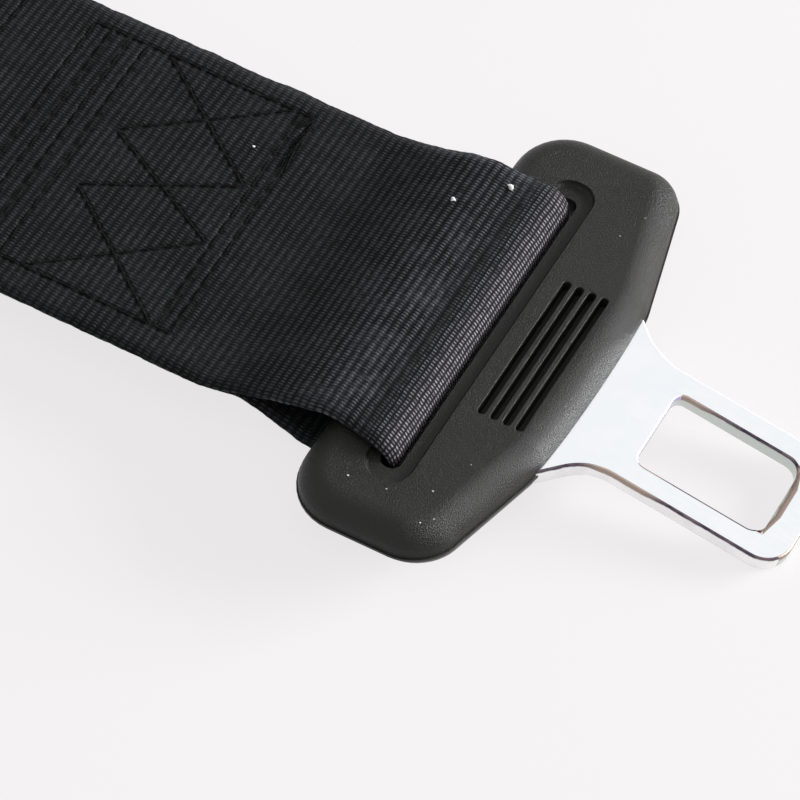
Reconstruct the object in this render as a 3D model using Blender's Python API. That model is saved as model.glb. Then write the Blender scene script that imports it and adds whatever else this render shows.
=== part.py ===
"""Seat belt extender: a plated steel tongue in a moulded head, one piece of webbing looped and sewn
at both ends, and a push-button buckle that holds the next tongue.

Sizes are in metres. X runs along the strap towards the tongue's tip, Y across it and Z up from the
surface that the extender lies on. The strap frame used below has x = 0 at the webbing's fold in the
head, and the whole extender is then moved so that the frame's origin is under its middle.
"""

import math

import bmesh
import bpy
from mathutils import Matrix, Vector

# Fits between pieces
TOUCH_GAP = 0.0003
LOOP_GAP = 0.0005
SLIDE_GAP = 0.0004

# Webbing, one strip with both of its ends folded back and sewn
WEB_WIDTH = 0.048
WEB_THICKNESS = 0.0012
LAYER_GAP = 0.0001
FOLD_TO_FOLD = 0.150
STRAP_MID_Z = 0.0069
HUMP_LENGTH = 0.009
LOOP_RUN = 0.018
HEAD_FOLD_RADIUS = 0.0034
FRAME_FOLD_RADIUS = 0.0012
TAIL_MARGIN = 0.0035

# Sewing pattern, measured from a fold along the strap; the corners of the three crosses are shares
# of the webbing's half width, and the seam was sewn a little off its middle
SEAM_START = 0.0358
SEAM_LEAD_PITCH = 0.0021
SEAM_ZIGZAG_GAP = 0.0009
SEAM_ZIGZAG_LENGTH = 0.0192
SEAM_TAIL_GAP = 0.0032
SEAM_ROW_PITCH = 0.0027
SEAM_CORNER_SHARES = (-0.78, -0.163, 0.267, 0.867)
SEAM_LEAD_ROWS = 2
SEAM_END_ROWS = 4
THREAD_WIDTH = 0.0008
THREAD_HEIGHT = 0.0004

# Moulded head of the tongue
HEAD_COVER = 0.00323
HEAD_FLOOR = 0.00132
HEAD_HALF_WIDTH = 0.0342
HEAD_REAR = 0.011
HEAD_SIDE_FRONT = 0.0102
HEAD_FRONT = 0.0155
HEAD_FRONT_BULGE = 0.0006
HEAD_REAR_RADIUS = 0.0075
HEAD_FRONT_RADIUS = 0.0052
HEAD_EDGE_RADIUS = 0.0038
HEAD_PARTING_DROP = 0.0002
HEAD_PARTING_STEP = 0.00025
HEAD_FLANGE = 0.0005
HEAD_SIDE_TAPER = 0.0017
HEAD_END_TAPER = 0.0009
HEAD_FOOT_CHAMFER = 0.0005
SLOT_REAR_ROOM = 0.0010
SLOT_FRONT_ROOM = 0.0007
SLOT_END_ROOM = 0.0010
SLOT_FLARE = 0.0011
RECESS_DEPTH = 0.0012
RECESS_REAR_MARGIN = 0.0016
RECESS_FRONT_MARGIN = 0.0019
RECESS_END_MARGIN = 0.0018
RIB_GROOVES = 4
RIB_GROOVE_PITCH = 0.00178
RIB_GROOVE_WIDTH = 0.00085
RIB_GROOVE_LENGTH = 0.0236
RIB_GROOVE_DEPTH = 0.0010
RIB_GROOVE_START = 0.0055

# Steel tongue, a stamped plate that runs on inside the head and round the webbing slot
PLATE_THICKNESS = 0.00245
PLATE_HALF_WIDTH = 0.0310
PLATE_REAR = 0.0086
PLATE_SHOULDER = 0.0083
PLATE_CORNER = 0.0036
SLOT_LINER = 0.0014
NECK_HALF_WIDTH = 0.0136
NECK_FLARE = 0.0026
NECK_FILLET = 0.008
BLADE_HALF_WIDTH = 0.0093
BLADE_START = 0.0198
BLADE_LENGTH = 0.0270
BLADE_DROP_DEG = 10.8
BEND_RADIUS = 0.006
TIP_RADIUS = 0.004
WINDOW_START = 0.0047
WINDOW_LENGTH = 0.0181
WINDOW_HALF_WIDTH = 0.00605
WINDOW_REAR_RADIUS = 0.0016
WINDOW_TIP_RADIUS = 0.0028

# Buckle frame, a steel channel with a wide slotted end
FRAME_THICKNESS = 0.0025
FRAME_FRONT_SETBACK = 0.003
FRAME_SHOULDER = 0.050
FRAME_RAIL = 0.0025
FRAME_BAR = 0.008
FRAME_SLOT_FRONT_ROOM = 0.0014
CHANNEL_HALF_WIDTH = 0.013
SIDE_WALL = 0.002
FRAME_LIP = 0.0002
FRAME_CORNER = 0.001
SIDE_WALL_START = 0.008
SIDE_WALL_HEIGHT = 0.006
EAR_LENGTH = 0.008
EAR_MARGIN = 0.003
GUARD_WALL = 0.0008

# Buckle casing, measured from the mouth along the strap
MOUTH_TO_FOLD = 0.054
CASE_WALL = 0.002
CASE_FRONT_HALF_WIDTH = 0.0234
CASE_FLARE_START = 0.039
CASE_FLARE_END = 0.049
CASE_SLOPE_START = 0.045
CASE_SLOPE_MARGIN = 0.006
CASE_HEIGHT = 0.025
CASE_REAR_HEIGHT = 0.0155
CASE_PARTING_Z = 0.010
CASE_CORNER_RADIUS = 0.005
CASE_END_ROUNDING = 0.0015
CASE_REAR_COVER = 0.0054
CASE_SIDE_ROOM = 0.0008
MOUTH_HALF_WIDTH = 0.012
THUMB_NOTCH_RADIUS = 0.012
THUMB_NOTCH_DEPTH = 0.006
SCREW_FRONT = 0.010
SCREW_REAR = 0.036
SCREW_RADIUS = 0.0012
SCREW_HEAD_RADIUS = 0.0022
SCREW_HEAD_HEIGHT = 0.0016
SCREW_HEAD_RECESS = 0.0006
BOSS_RADIUS = 0.0025

# Latch, its two pins, the push button and the ejector
CHANNEL_HEIGHT = 0.0043
PIVOT_S = 0.044
PIVOT_HEIGHT = 0.0054
PIVOT_PIN_RADIUS = 0.0015
BARREL_WALL = 0.0008
LATCH_HALF_WIDTH = 0.008
LATCH_THICKNESS = 0.0018
TOOTH_PLAY = 0.0002
TOOTH_LENGTH = 0.0036
TOOTH_HALF_WIDTH = 0.0046
TOOTH_BITE = 0.0006
TOOTH_REAR_ROOM = 0.003
LIFT_PIN_S = 0.030
LIFT_PIN_RISE = 0.0016
LIFT_PIN_RADIUS = 0.0010
LIFT_ANGLE_DEG = 9.0
LUG_WIDTH = 0.0020
LUG_HALF_LENGTH = 0.0021
BUTTON_TRAVEL = 0.0045
BUTTON_PROUD = 0.0008
BUTTON_TOP_LENGTH = 0.016
BUTTON_ARM_END = 0.032
BUTTON_WALL = 0.0018
TONGUE_DEPTH = 0.030
EJECTOR_LENGTH = 0.017
EJECTOR_THICKNESS = 0.0021
EJECTOR_BAR = 0.003
EJECTOR_TRAVEL = 0.009
STOP_TAB_HALF_WIDTH = 0.003
STOP_TAB = 0.0012

# Springs
SPRING_WIRE = 0.0003
BUTTON_SPRING_RADIUS = 0.0016
BUTTON_SPRING_TURNS = 7
BUTTON_SPRING_ROOM = 0.0105
LATCH_SPRING_RADIUS = 0.0020
LATCH_SPRING_TURNS = 5
LATCH_SPRING_S = 0.037
EJECTOR_SPRING_RADIUS = 0.0009
EJECTOR_SPRING_TURNS = 5
POINTS_PER_TURN = 8

# Heights that follow from the sizes above
BLADE_DROP = math.radians(BLADE_DROP_DEG)
PLATE_TOP_Z = BLADE_LENGTH * math.sin(BLADE_DROP) + PLATE_THICKNESS * math.cos(BLADE_DROP)
PLATE_BOTTOM_Z = PLATE_TOP_Z - PLATE_THICKNESS
HEAD_TOP_Z = PLATE_TOP_Z + HEAD_COVER
HEAD_BOTTOM_Z = PLATE_BOTTOM_Z - HEAD_FLOOR
LAYER_OFFSET = (WEB_THICKNESS + LAYER_GAP) / 2
STRAP_TOP_Z = STRAP_MID_Z + LAYER_OFFSET + WEB_THICKNESS / 2
FRAME_TOP_Z = STRAP_MID_Z + FRAME_THICKNESS / 2
FRAME_BOTTOM_Z = STRAP_MID_Z - FRAME_THICKNESS / 2
GUARD_HALF_HEIGHT = FRAME_THICKNESS / 2 + TOUCH_GAP + GUARD_WALL
PIVOT_Z = FRAME_TOP_Z + PIVOT_HEIGHT
LATCH_TOP_Z = PIVOT_Z + LATCH_THICKNESS / 3
LIFT_PIN_Z = LATCH_TOP_Z + LIFT_PIN_RISE
BUTTON_BOTTOM_Z = FRAME_TOP_Z + CHANNEL_HEIGHT
CASE_INNER_TOP_Z = CASE_HEIGHT - CASE_WALL
BUTTON_TOP_Z = CASE_INNER_TOP_Z - SLIDE_GAP
EJECTOR_BOTTOM_Z = FRAME_TOP_Z + TOUCH_GAP
EJECTOR_TOP_Z = EJECTOR_BOTTOM_Z + EJECTOR_THICKNESS
SCREW_SEAT_Z = SCREW_HEAD_RECESS + SCREW_HEAD_HEIGHT
SCREW_TIP_Z = CASE_HEIGHT - 3 * CASE_WALL

# Places along the strap that follow from the sizes above
MOUTH_X = -FOLD_TO_FOLD - MOUTH_TO_FOLD
TIP_X = BLADE_START + BLADE_LENGTH * math.cos(BLADE_DROP)
MIDDLE_X = (MOUTH_X - BUTTON_PROUD + TIP_X) / 2
TONGUE_PIVOT_X = -(HEAD_REAR + SLOT_REAR_ROOM + WEB_THICKNESS) / 2
FRAME_SLOT_START = MOUTH_TO_FOLD - FRAME_SLOT_FRONT_ROOM
FRAME_SLOT_END = MOUTH_TO_FOLD + WEB_THICKNESS + TOUCH_GAP + GUARD_WALL + TOUCH_GAP
FRAME_END = FRAME_SLOT_END + FRAME_BAR
CASE_LENGTH = FRAME_END + CASE_REAR_COVER
CASE_SLOPE_END = CASE_LENGTH - CASE_SLOPE_MARGIN
FRAME_SLOT_HALF_WIDTH = WEB_WIDTH / 2 + SLOT_END_ROOM
FRAME_REAR_HALF_WIDTH = FRAME_SLOT_HALF_WIDTH + FRAME_RAIL
FRAME_FRONT_HALF_WIDTH = CHANNEL_HALF_WIDTH + SIDE_WALL + FRAME_LIP
CASE_REAR_HALF_WIDTH = FRAME_REAR_HALF_WIDTH + CASE_SIDE_ROOM + CASE_WALL
SCREW_Y = (FRAME_FRONT_HALF_WIDTH + CASE_FRONT_HALF_WIDTH - CASE_WALL) / 2
BARREL_RADIUS = PIVOT_PIN_RADIUS + TOUCH_GAP + BARREL_WALL
STOP_TAB_S = FRAME_SLOT_START - SLIDE_GAP - STOP_TAB
BUTTON_HALF_WIDTH = CHANNEL_HALF_WIDTH - SLIDE_GAP
ARM_INNER = LATCH_HALF_WIDTH + 3 * SLIDE_GAP
ARM_MIDDLE = (ARM_INNER + BUTTON_HALF_WIDTH) / 2
SPRING_RIB_S = BUTTON_ARM_END + BUTTON_SPRING_ROOM
TIP_BAR = BLADE_LENGTH - WINDOW_START - WINDOW_LENGTH
TOOTH_S = TONGUE_DEPTH - TIP_BAR - TOOTH_PLAY
EJECTOR_FRONT = TONGUE_DEPTH - EJECTOR_TRAVEL
SEAM_ZIGZAG_START = SEAM_START + (SEAM_LEAD_ROWS - 1) * SEAM_LEAD_PITCH + SEAM_ZIGZAG_GAP
SEAM_TAIL_START = SEAM_ZIGZAG_START + SEAM_ZIGZAG_LENGTH + SEAM_TAIL_GAP
SEAM_END = SEAM_TAIL_START + (SEAM_END_ROWS - 1) * SEAM_ROW_PITCH
TAIL_LENGTH = SEAM_END + TAIL_MARGIN

CUT_MARGIN = 0.001
CORNER_SEGMENTS = 6
CASE_SECTIONS = 10
ROUND_SIDES = 20


# Outlines: lists of (x, y) pairs, or of (x, z) pairs for a side view

def filleted(corners, segments=CORNER_SEGMENTS):
    """The outline through (x, y, radius) corners, each with a radius rounded by an arc."""
    points = []
    count = len(corners)
    for i, (x, y, radius) in enumerate(corners):
        corner = Vector((x, y))
        if radius <= 0:
            points.append(corner)
            continue
        before = (Vector(corners[i - 1][:2]) - corner).normalized()
        after = (Vector(corners[(i + 1) % count][:2]) - corner).normalized()
        half_angle = before.angle(after) / 2
        centre = corner + (before + after).normalized() * (radius / math.sin(half_angle))
        start = corner + before * (radius / math.tan(half_angle)) - centre
        end = corner + after * (radius / math.tan(half_angle)) - centre
        sweep = start.angle_signed(end)
        for step in range(segments + 1):
            turn = Matrix.Rotation(-sweep * step / segments, 2)
            points.append(centre + turn @ start)
    return points


def mirrored(half):
    """A closed list of corners from those of its +Y half, run from the rear to the front."""
    other = [(x, -y, radius) for x, y, radius in half if y > 0]
    return other + half[::-1]


def rounded_box(x0, x1, y0, y1, radius, segments=CORNER_SEGMENTS):
    """A rectangle with rounded corners."""
    return filleted([(x0, y0, radius), (x1, y0, radius), (x1, y1, radius), (x0, y1, radius)], segments)


def grown(points, distance):
    """The outline moved outwards by a distance, or inwards by a negative one."""
    result = []
    count = len(points)
    for i, point in enumerate(points):
        before = (point - points[i - 1]).normalized()
        after = (points[(i + 1) % count] - point).normalized()
        normal = Vector((before.y + after.y, -before.x - after.x)).normalized()
        side = Vector((after.y, -after.x))
        result.append(point + normal * (distance / max(normal.dot(side), 0.5)))
    return result


def tapered(points, end_inset, side_inset):
    """The outline drawn in towards its middle, at its two ends and at its two sides."""
    low, high = min(p.x for p in points), max(p.x for p in points)
    middle, half_length, half_width = (low + high) / 2, (high - low) / 2, max(p.y for p in points)
    return [Vector((middle + (p.x - middle) * (1 - end_inset / half_length),
                    p.y * (1 - side_inset / half_width))) for p in points]


# Meshes

def loft(bm, rings):
    """A closed body through rings that have as many points each, with a flat cap at both ends."""
    rows = [[bm.verts.new(point) for point in ring] for ring in rings]
    count = len(rows[0])
    for lower, upper in zip(rows, rows[1:]):
        for i in range(count):
            j = (i + 1) % count
            bm.faces.new((lower[i], lower[j], upper[j], upper[i]))
    bm.faces.new(rows[0][::-1])
    bm.faces.new(rows[-1])


def layered(bm, levels):
    """A body through plan outlines at heights, given as (outline, z) pairs from the bottom up."""
    loft(bm, [[(x, y, z) for x, y in outline] for outline, z in levels])


def prism(bm, outline, z0, z1):
    """A plan outline made a body from z0 up to z1."""
    layered(bm, [(outline, z0), (outline, z1)])


def slab(bm, profile, y0, y1):
    """A side view made a body from y0 to y1."""
    loft(bm, [[(x, y, z) for x, z in profile] for y in (y0, y1)])


def block(bm, x0, x1, y0, y1, z0, z1):
    """A plain box."""
    prism(bm, [Vector((x0, y0)), Vector((x1, y0)), Vector((x1, y1)), Vector((x0, y1))], z0, z1)


def turned(bm, levels, place, axis="Z"):
    """A round body through (radius, distance) levels along an axis from a place."""
    tilt = {"Z": Matrix.Identity(4), "Y": Matrix.Rotation(-math.pi / 2, 4, "X")}[axis]
    move = Matrix.Translation(place) @ tilt
    rings = []
    for radius, distance in levels:
        ring = []
        for i in range(ROUND_SIDES):
            angle = 2 * math.pi * i / ROUND_SIDES
            ring.append(move @ Vector((radius * math.cos(angle), radius * math.sin(angle), distance)))
        rings.append(ring)
    loft(bm, rings)


# Objects

def material(name, colour, roughness, metallic=0.0):
    made = bpy.data.materials.new(name)
    made.use_nodes = True
    shader = made.node_tree.nodes["Principled BSDF"]
    shader.inputs["Base Color"].default_value = (*colour, 1.0)
    shader.inputs["Roughness"].default_value = roughness
    shader.inputs["Metallic"].default_value = metallic
    return made


def empty(name, place, parent=None):
    """A pivot or a group's origin, placed in the strap frame."""
    made = bpy.data.objects.new(name, None)
    bpy.context.scene.collection.objects.link(made)
    made.parent = parent
    made.location = Vector(place) - strap_place(parent)
    return made


def strap_place(item):
    """An object's origin in the strap frame, which is that of the topmost empty."""
    place = Vector((0, 0, 0))
    while item is not None and item.parent is not None:
        place += item.location
        item = item.parent
    return place


def add(name, bm, finish, parent, origin=None):
    """A mesh drawn in the strap frame becomes an object with its origin at a place there."""
    origin = strap_place(parent) if origin is None else Vector(origin)
    bmesh.ops.recalc_face_normals(bm, faces=bm.faces)
    bmesh.ops.translate(bm, verts=bm.verts, vec=-origin)
    mesh = bpy.data.meshes.new(name)
    bm.to_mesh(mesh)
    bm.free()
    if finish:
        mesh.materials.append(finish)
    mesh.shade_smooth()
    mesh.set_sharp_from_angle(angle=math.radians(35))
    made = bpy.data.objects.new(name, mesh)
    bpy.context.scene.collection.objects.link(made)
    made.parent = parent
    made.location = origin - strap_place(parent)
    return made


def boolean(target, bm, operation, name, self_crossing=False):
    """Cuts a target with a body, joins the body to it or keeps what they share; gives back the body."""
    tool = add(f"{target.name}_{name}", bm, None, target.parent)
    tool.hide_render = True
    tool.display_type = "WIRE"
    step = target.modifiers.new(name, "BOOLEAN")
    step.operation = operation
    step.solver = "EXACT"
    step.use_self = self_crossing
    step.object = tool
    return tool


def spring(name, start, end, radius, turns, finish, parent):
    """A coil spring between two places, each just inside its own end."""
    start, end = Vector(start), Vector(end)
    axis = (end - start).normalized()
    side = axis.orthogonal().normalized()
    other = axis.cross(side)
    steps = turns * POINTS_PER_TURN
    curve = bpy.data.curves.new(name, "CURVE")
    curve.dimensions = "3D"
    curve.bevel_depth = SPRING_WIRE
    curve.bevel_resolution = 1
    curve.use_fill_caps = True
    curve.materials.append(finish)
    spline = curve.splines.new("POLY")
    spline.points.add(steps)
    for i, point in enumerate(spline.points):
        angle = 2 * math.pi * i / POINTS_PER_TURN
        reach = side * (radius * math.cos(angle)) + other * (radius * math.sin(angle))
        point.co = (*(start.lerp(end, i / steps) - start + reach), 1.0)
    made = bpy.data.objects.new(name, curve)
    bpy.context.scene.collection.objects.link(made)
    made.parent = parent
    made.location = start - strap_place(parent)
    return made


# The webbing

def arc(centre, radius, start_deg, end_deg, steps=6):
    """Points on an arc in a side view, both ends included."""
    points = []
    for i in range(steps + 1):
        angle = math.radians(start_deg + (end_deg - start_deg) * i / steps)
        points.append((centre[0] + radius * math.cos(angle), centre[1] + radius * math.sin(angle)))
    return points


def eased(x0, z0, x1, z1, steps=10):
    """Points on a smooth S from one height to another, without its first point."""
    points = []
    for i in range(1, steps + 1):
        share = i / steps
        ease = (1 - math.cos(math.pi * share)) / 2
        points.append((x0 + (x1 - x0) * share, z0 + (z1 - z0) * ease))
    return points


def web_loop(low_leg_z, high_leg_z, radius, hump, run):
    """The webbing's middle line round a bar, from the lower layer to the upper, fold at x = 0."""
    low_layer_z = STRAP_MID_Z - LAYER_OFFSET
    high_layer_z = STRAP_MID_Z + LAYER_OFFSET
    centre_x = -WEB_THICKNESS / 2 - radius
    line = [(-TAIL_LENGTH, low_layer_z), (-hump - run, low_layer_z)]
    line += eased(-hump - run, low_layer_z, -hump, low_leg_z)
    line += arc((centre_x, low_leg_z + radius), radius, -90, 0)
    if high_leg_z - low_leg_z > 2.01 * radius:
        line += arc((centre_x, high_leg_z - radius), radius, 0, 90)
    else:
        line += arc((centre_x, high_leg_z - radius), radius, 0, 90)[1:]
    line += [(-hump, high_leg_z)] + eased(-hump, high_leg_z, -hump - run, high_layer_z)
    return line


def web_line():
    """The webbing's whole middle line, from one sewn tail round both loops to the other."""
    clear = LOOP_GAP + WEB_THICKNESS / 2
    head_loop = web_loop(HEAD_BOTTOM_Z - clear, HEAD_TOP_Z + clear, HEAD_FOLD_RADIUS, HUMP_LENGTH, LOOP_RUN)
    reach = GUARD_HALF_HEIGHT + TOUCH_GAP + WEB_THICKNESS / 2
    hump = WEB_THICKNESS + 2 * TOUCH_GAP + GUARD_WALL + FRAME_BAR
    frame_loop = web_loop(STRAP_MID_Z - reach, STRAP_MID_Z + reach, FRAME_FOLD_RADIUS, hump, LOOP_RUN)
    return head_loop + [(-FOLD_TO_FOLD - x, z) for x, z in reversed(frame_loop)]


def make_webbing(finish, parent):
    line = [Vector(point) for point in web_line()]
    rings = []
    for i, point in enumerate(line):
        run = (line[min(i + 1, len(line) - 1)] - line[max(i - 1, 0)]).normalized()
        side = Vector((-run.y, run.x)) * (WEB_THICKNESS / 2)
        inner, outer = point - side, point + side
        rings.append([(inner.x, -WEB_WIDTH / 2, inner.y), (inner.x, WEB_WIDTH / 2, inner.y),
                      (outer.x, WEB_WIDTH / 2, outer.y), (outer.x, -WEB_WIDTH / 2, outer.y)])
    bm = bmesh.new()
    loft(bm, rings)
    return add("webbing", bm, finish, parent)


def thread_bar(bm, start, end, z0):
    """One straight run of thread from one place to another, a little longer at both ends."""
    start, end = Vector(start), Vector(end)
    run = (end - start).normalized() * (THREAD_WIDTH / 2)
    side = Vector((-run.y, run.x))
    corners = [start - run - side, end + run - side, end + run + side, start - run + side]
    prism(bm, corners, z0, z0 + THREAD_HEIGHT)


def make_stitching(name, fold_x, direction, finish, parent):
    """Rows across, two rows along and crossing zigzags between them, as one sewn thread."""
    z0 = STRAP_TOP_Z + TOUCH_GAP
    corners = [share * WEB_WIDTH / 2 for share in SEAM_CORNER_SHARES]
    lead_rows = [SEAM_START + i * SEAM_LEAD_PITCH for i in range(SEAM_LEAD_ROWS)]
    end_rows = [SEAM_TAIL_START + i * SEAM_ROW_PITCH for i in range(SEAM_END_ROWS)]
    bm = bmesh.new()
    for u in lead_rows + end_rows:
        thread_bar(bm, (fold_x + direction * u, corners[0]), (fold_x + direction * u, corners[-1]), z0)
    near = fold_x + direction * SEAM_ZIGZAG_START
    far = fold_x + direction * (SEAM_ZIGZAG_START + SEAM_ZIGZAG_LENGTH)
    for low, high in zip(corners, corners[1:]):
        thread_bar(bm, (near, low), (far, high), z0)
        thread_bar(bm, (far, low), (near, high), z0)
    first, last = fold_x + direction * SEAM_START, fold_x + direction * SEAM_END
    thread_bar(bm, (first, corners[0]), (last, corners[0]), z0)
    made = add(name, bm, finish, parent)
    other = bmesh.new()
    thread_bar(other, (first, corners[-1]), (last, corners[-1]), z0)
    boolean(made, other, "UNION", "side_row", self_crossing=True)
    return made


# The tongue and its head

def head_outline():
    bulge = []
    for share in (0.75, 0.5, 0.25):
        bulge.append((HEAD_FRONT + HEAD_FRONT_BULGE * (1 - share ** 2), NECK_HALF_WIDTH * share, 0))
    half = [(-HEAD_REAR, HEAD_HALF_WIDTH, HEAD_REAR_RADIUS),
            (HEAD_SIDE_FRONT, HEAD_HALF_WIDTH, HEAD_FRONT_RADIUS),
            (HEAD_FRONT, NECK_HALF_WIDTH, 0)] + bulge
    return filleted(mirrored(half))


def slot_outline(grow=0.0):
    """The webbing slot in the head, or that slot with more room all round."""
    half_length = WEB_WIDTH / 2 + SLOT_END_ROOM + grow
    x0 = -WEB_THICKNESS - SLOT_REAR_ROOM - grow
    x1 = SLOT_FRONT_ROOM + grow
    return rounded_box(x0, x1, -half_length, half_length, (x1 - x0) * 0.45)


def recess_outline():
    x0 = -WEB_THICKNESS - SLOT_REAR_ROOM - RECESS_REAR_MARGIN
    x1 = SLOT_FRONT_ROOM + RECESS_FRONT_MARGIN
    half_length = WEB_WIDTH / 2 + SLOT_END_ROOM + RECESS_END_MARGIN
    return rounded_box(x0, x1, -half_length, half_length, (x1 - x0) * 0.45)


def plate_outline():
    half = [(-PLATE_REAR, PLATE_HALF_WIDTH, PLATE_CORNER),
            (PLATE_SHOULDER, PLATE_HALF_WIDTH, PLATE_CORNER),
            (HEAD_FRONT - NECK_FLARE, NECK_HALF_WIDTH + NECK_FLARE, 0),
            (BLADE_START, BLADE_HALF_WIDTH, NECK_FILLET),
            (TIP_X, BLADE_HALF_WIDTH, TIP_RADIUS)]
    return filleted(mirrored(half))


def plate_profile():
    """The bent plate from the side: flat in the head, then dropping to the ground at the tip."""
    tangent = BEND_RADIUS * math.tan(BLADE_DROP / 2)
    drop_deg = math.degrees(BLADE_DROP)
    bend_x = BLADE_START - tangent
    centre = (bend_x, PLATE_TOP_Z - BEND_RADIUS)
    top = arc(centre, BEND_RADIUS, 90, 90 - drop_deg, 3)
    bottom = arc(centre, BEND_RADIUS - PLATE_THICKNESS, 90, 90 - drop_deg, 3)
    tip = Vector((BLADE_START, PLATE_TOP_Z)) + blade_run() * BLADE_LENGTH
    under_tip = tip - blade_normal() * PLATE_THICKNESS
    return ([(-PLATE_REAR, PLATE_TOP_Z)] + top + [tuple(tip), tuple(under_tip)]
            + bottom[::-1] + [(-PLATE_REAR, PLATE_BOTTOM_Z)])


def blade_run():
    return Vector((math.cos(BLADE_DROP), -math.sin(BLADE_DROP)))


def blade_normal():
    return Vector((math.sin(BLADE_DROP), math.cos(BLADE_DROP)))


def make_tongue_plate(finish, parent):
    bm = bmesh.new()
    slab(bm, plate_profile(), -PLATE_HALF_WIDTH - CUT_MARGIN, PLATE_HALF_WIDTH + CUT_MARGIN)
    made = add("tongue_plate", bm, finish, parent)

    plan = bmesh.new()
    prism(plan, plate_outline(), -CUT_MARGIN, PLATE_TOP_Z + CUT_MARGIN)
    boolean(made, plan, "INTERSECT", "plan")

    slot = bmesh.new()
    prism(slot, slot_outline(SLOT_LINER), PLATE_BOTTOM_Z - CUT_MARGIN, PLATE_TOP_Z + CUT_MARGIN)
    boolean(made, slot, "DIFFERENCE", "slot")

    window = bmesh.new()
    half = [(WINDOW_START, WINDOW_HALF_WIDTH, WINDOW_REAR_RADIUS),
            (WINDOW_START + WINDOW_LENGTH, WINDOW_HALF_WIDTH, WINDOW_TIP_RADIUS)]
    prism(window, filleted(mirrored(half)), -PLATE_THICKNESS - CUT_MARGIN, CUT_MARGIN)
    turn = Matrix.Translation((BLADE_START, 0, PLATE_TOP_Z)) @ Matrix.Rotation(BLADE_DROP, 4, "Y")
    bmesh.ops.transform(window, matrix=turn, verts=window.verts)
    boolean(made, window, "DIFFERENCE", "window")
    return made


def make_tongue_head(finish, parent):
    outline = head_outline()
    foot = tapered(outline, HEAD_END_TAPER, HEAD_SIDE_TAPER)
    shoulder_z = HEAD_TOP_Z - HEAD_EDGE_RADIUS
    parting_z = shoulder_z - HEAD_PARTING_DROP
    levels = [(grown(foot, -HEAD_FOOT_CHAMFER), HEAD_BOTTOM_Z),
              (grown(foot, -HEAD_FOOT_CHAMFER / 3), HEAD_BOTTOM_Z + HEAD_FOOT_CHAMFER / 3),
              (foot, HEAD_BOTTOM_Z + HEAD_FOOT_CHAMFER),
              (outline, parting_z - HEAD_FLANGE),
              (outline, parting_z),
              (grown(outline, -HEAD_PARTING_STEP), parting_z)]
    for step in range(7):
        angle = math.pi / 2 * step / 6
        inset = HEAD_PARTING_STEP + HEAD_EDGE_RADIUS * (1 - math.cos(angle))
        levels.append((grown(outline, -inset), shoulder_z + HEAD_EDGE_RADIUS * math.sin(angle)))
    bm = bmesh.new()
    layered(bm, levels)
    made = add("tongue_head", bm, finish, parent)

    slot = bmesh.new()
    layered(slot, [(slot_outline(SLOT_FLARE), HEAD_BOTTOM_Z - CUT_MARGIN),
                   (slot_outline(SLOT_FLARE), HEAD_BOTTOM_Z),
                   (slot_outline(), HEAD_BOTTOM_Z + SLOT_FLARE),
                   (slot_outline(), HEAD_TOP_Z - RECESS_DEPTH),
                   (recess_outline(), HEAD_TOP_Z),
                   (recess_outline(), HEAD_TOP_Z + CUT_MARGIN)])
    boolean(made, slot, "DIFFERENCE", "slot")

    grooves = bmesh.new()
    radius = RIB_GROOVE_WIDTH * 0.45
    for i in range(RIB_GROOVES):
        x = RIB_GROOVE_START + i * RIB_GROOVE_PITCH
        shape = rounded_box(x - RIB_GROOVE_WIDTH / 2, x + RIB_GROOVE_WIDTH / 2,
                            -RIB_GROOVE_LENGTH / 2, RIB_GROOVE_LENGTH / 2, radius, 3)
        prism(grooves, shape, HEAD_TOP_Z - RIB_GROOVE_DEPTH, HEAD_TOP_Z + CUT_MARGIN)
    boolean(made, grooves, "DIFFERENCE", "grooves")

    pocket = bmesh.new()
    prism(pocket, grown(plate_outline(), TOUCH_GAP), PLATE_BOTTOM_Z - TOUCH_GAP, PLATE_TOP_Z + TOUCH_GAP)
    room = boolean(made, pocket, "DIFFERENCE", "pocket")
    core = bmesh.new()
    prism(core, slot_outline(SLOT_LINER - TOUCH_GAP), PLATE_BOTTOM_Z - CUT_MARGIN, PLATE_TOP_Z + CUT_MARGIN)
    boolean(room, core, "DIFFERENCE", "core")
    return made


# The buckle, whose drawing measures s from the mouth towards the strap

def at(s):
    """The place along X of a distance from the buckle's mouth."""
    return MOUTH_X + s


def blended(s, start, end, first, last):
    """A size that goes smoothly from its first value to its last between two distances."""
    share = min(max((s - start) / (end - start), 0.0), 1.0)
    return first + (last - first) * (1 - math.cos(math.pi * share)) / 2


def case_sections(nose):
    """Distance from the mouth, half width, lowest and highest point of each section."""
    front, rear = CASE_FRONT_HALF_WIDTH, CASE_REAR_HALF_WIDTH
    sections = [(0.0, front - nose, nose, CASE_HEIGHT - nose),
                (nose / 3, front - nose / 3, nose / 3, CASE_HEIGHT - nose / 3),
                (nose, front, 0.0, CASE_HEIGHT)]
    for step in range(CASE_SECTIONS + 1):
        s = CASE_FLARE_START + (CASE_SLOPE_END - CASE_FLARE_START) * step / CASE_SECTIONS
        sections.append((s, blended(s, CASE_FLARE_START, CASE_FLARE_END, front, rear), 0.0,
                         blended(s, CASE_SLOPE_START, CASE_SLOPE_END, CASE_HEIGHT, CASE_REAR_HEIGHT)))
    return sections + [(CASE_LENGTH - nose, rear, 0.0, CASE_REAR_HEIGHT),
                       (CASE_LENGTH - nose / 3, rear - nose / 3, nose / 3, CASE_REAR_HEIGHT - nose / 3),
                       (CASE_LENGTH, rear - nose, nose, CASE_REAR_HEIGHT - nose)]


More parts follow.
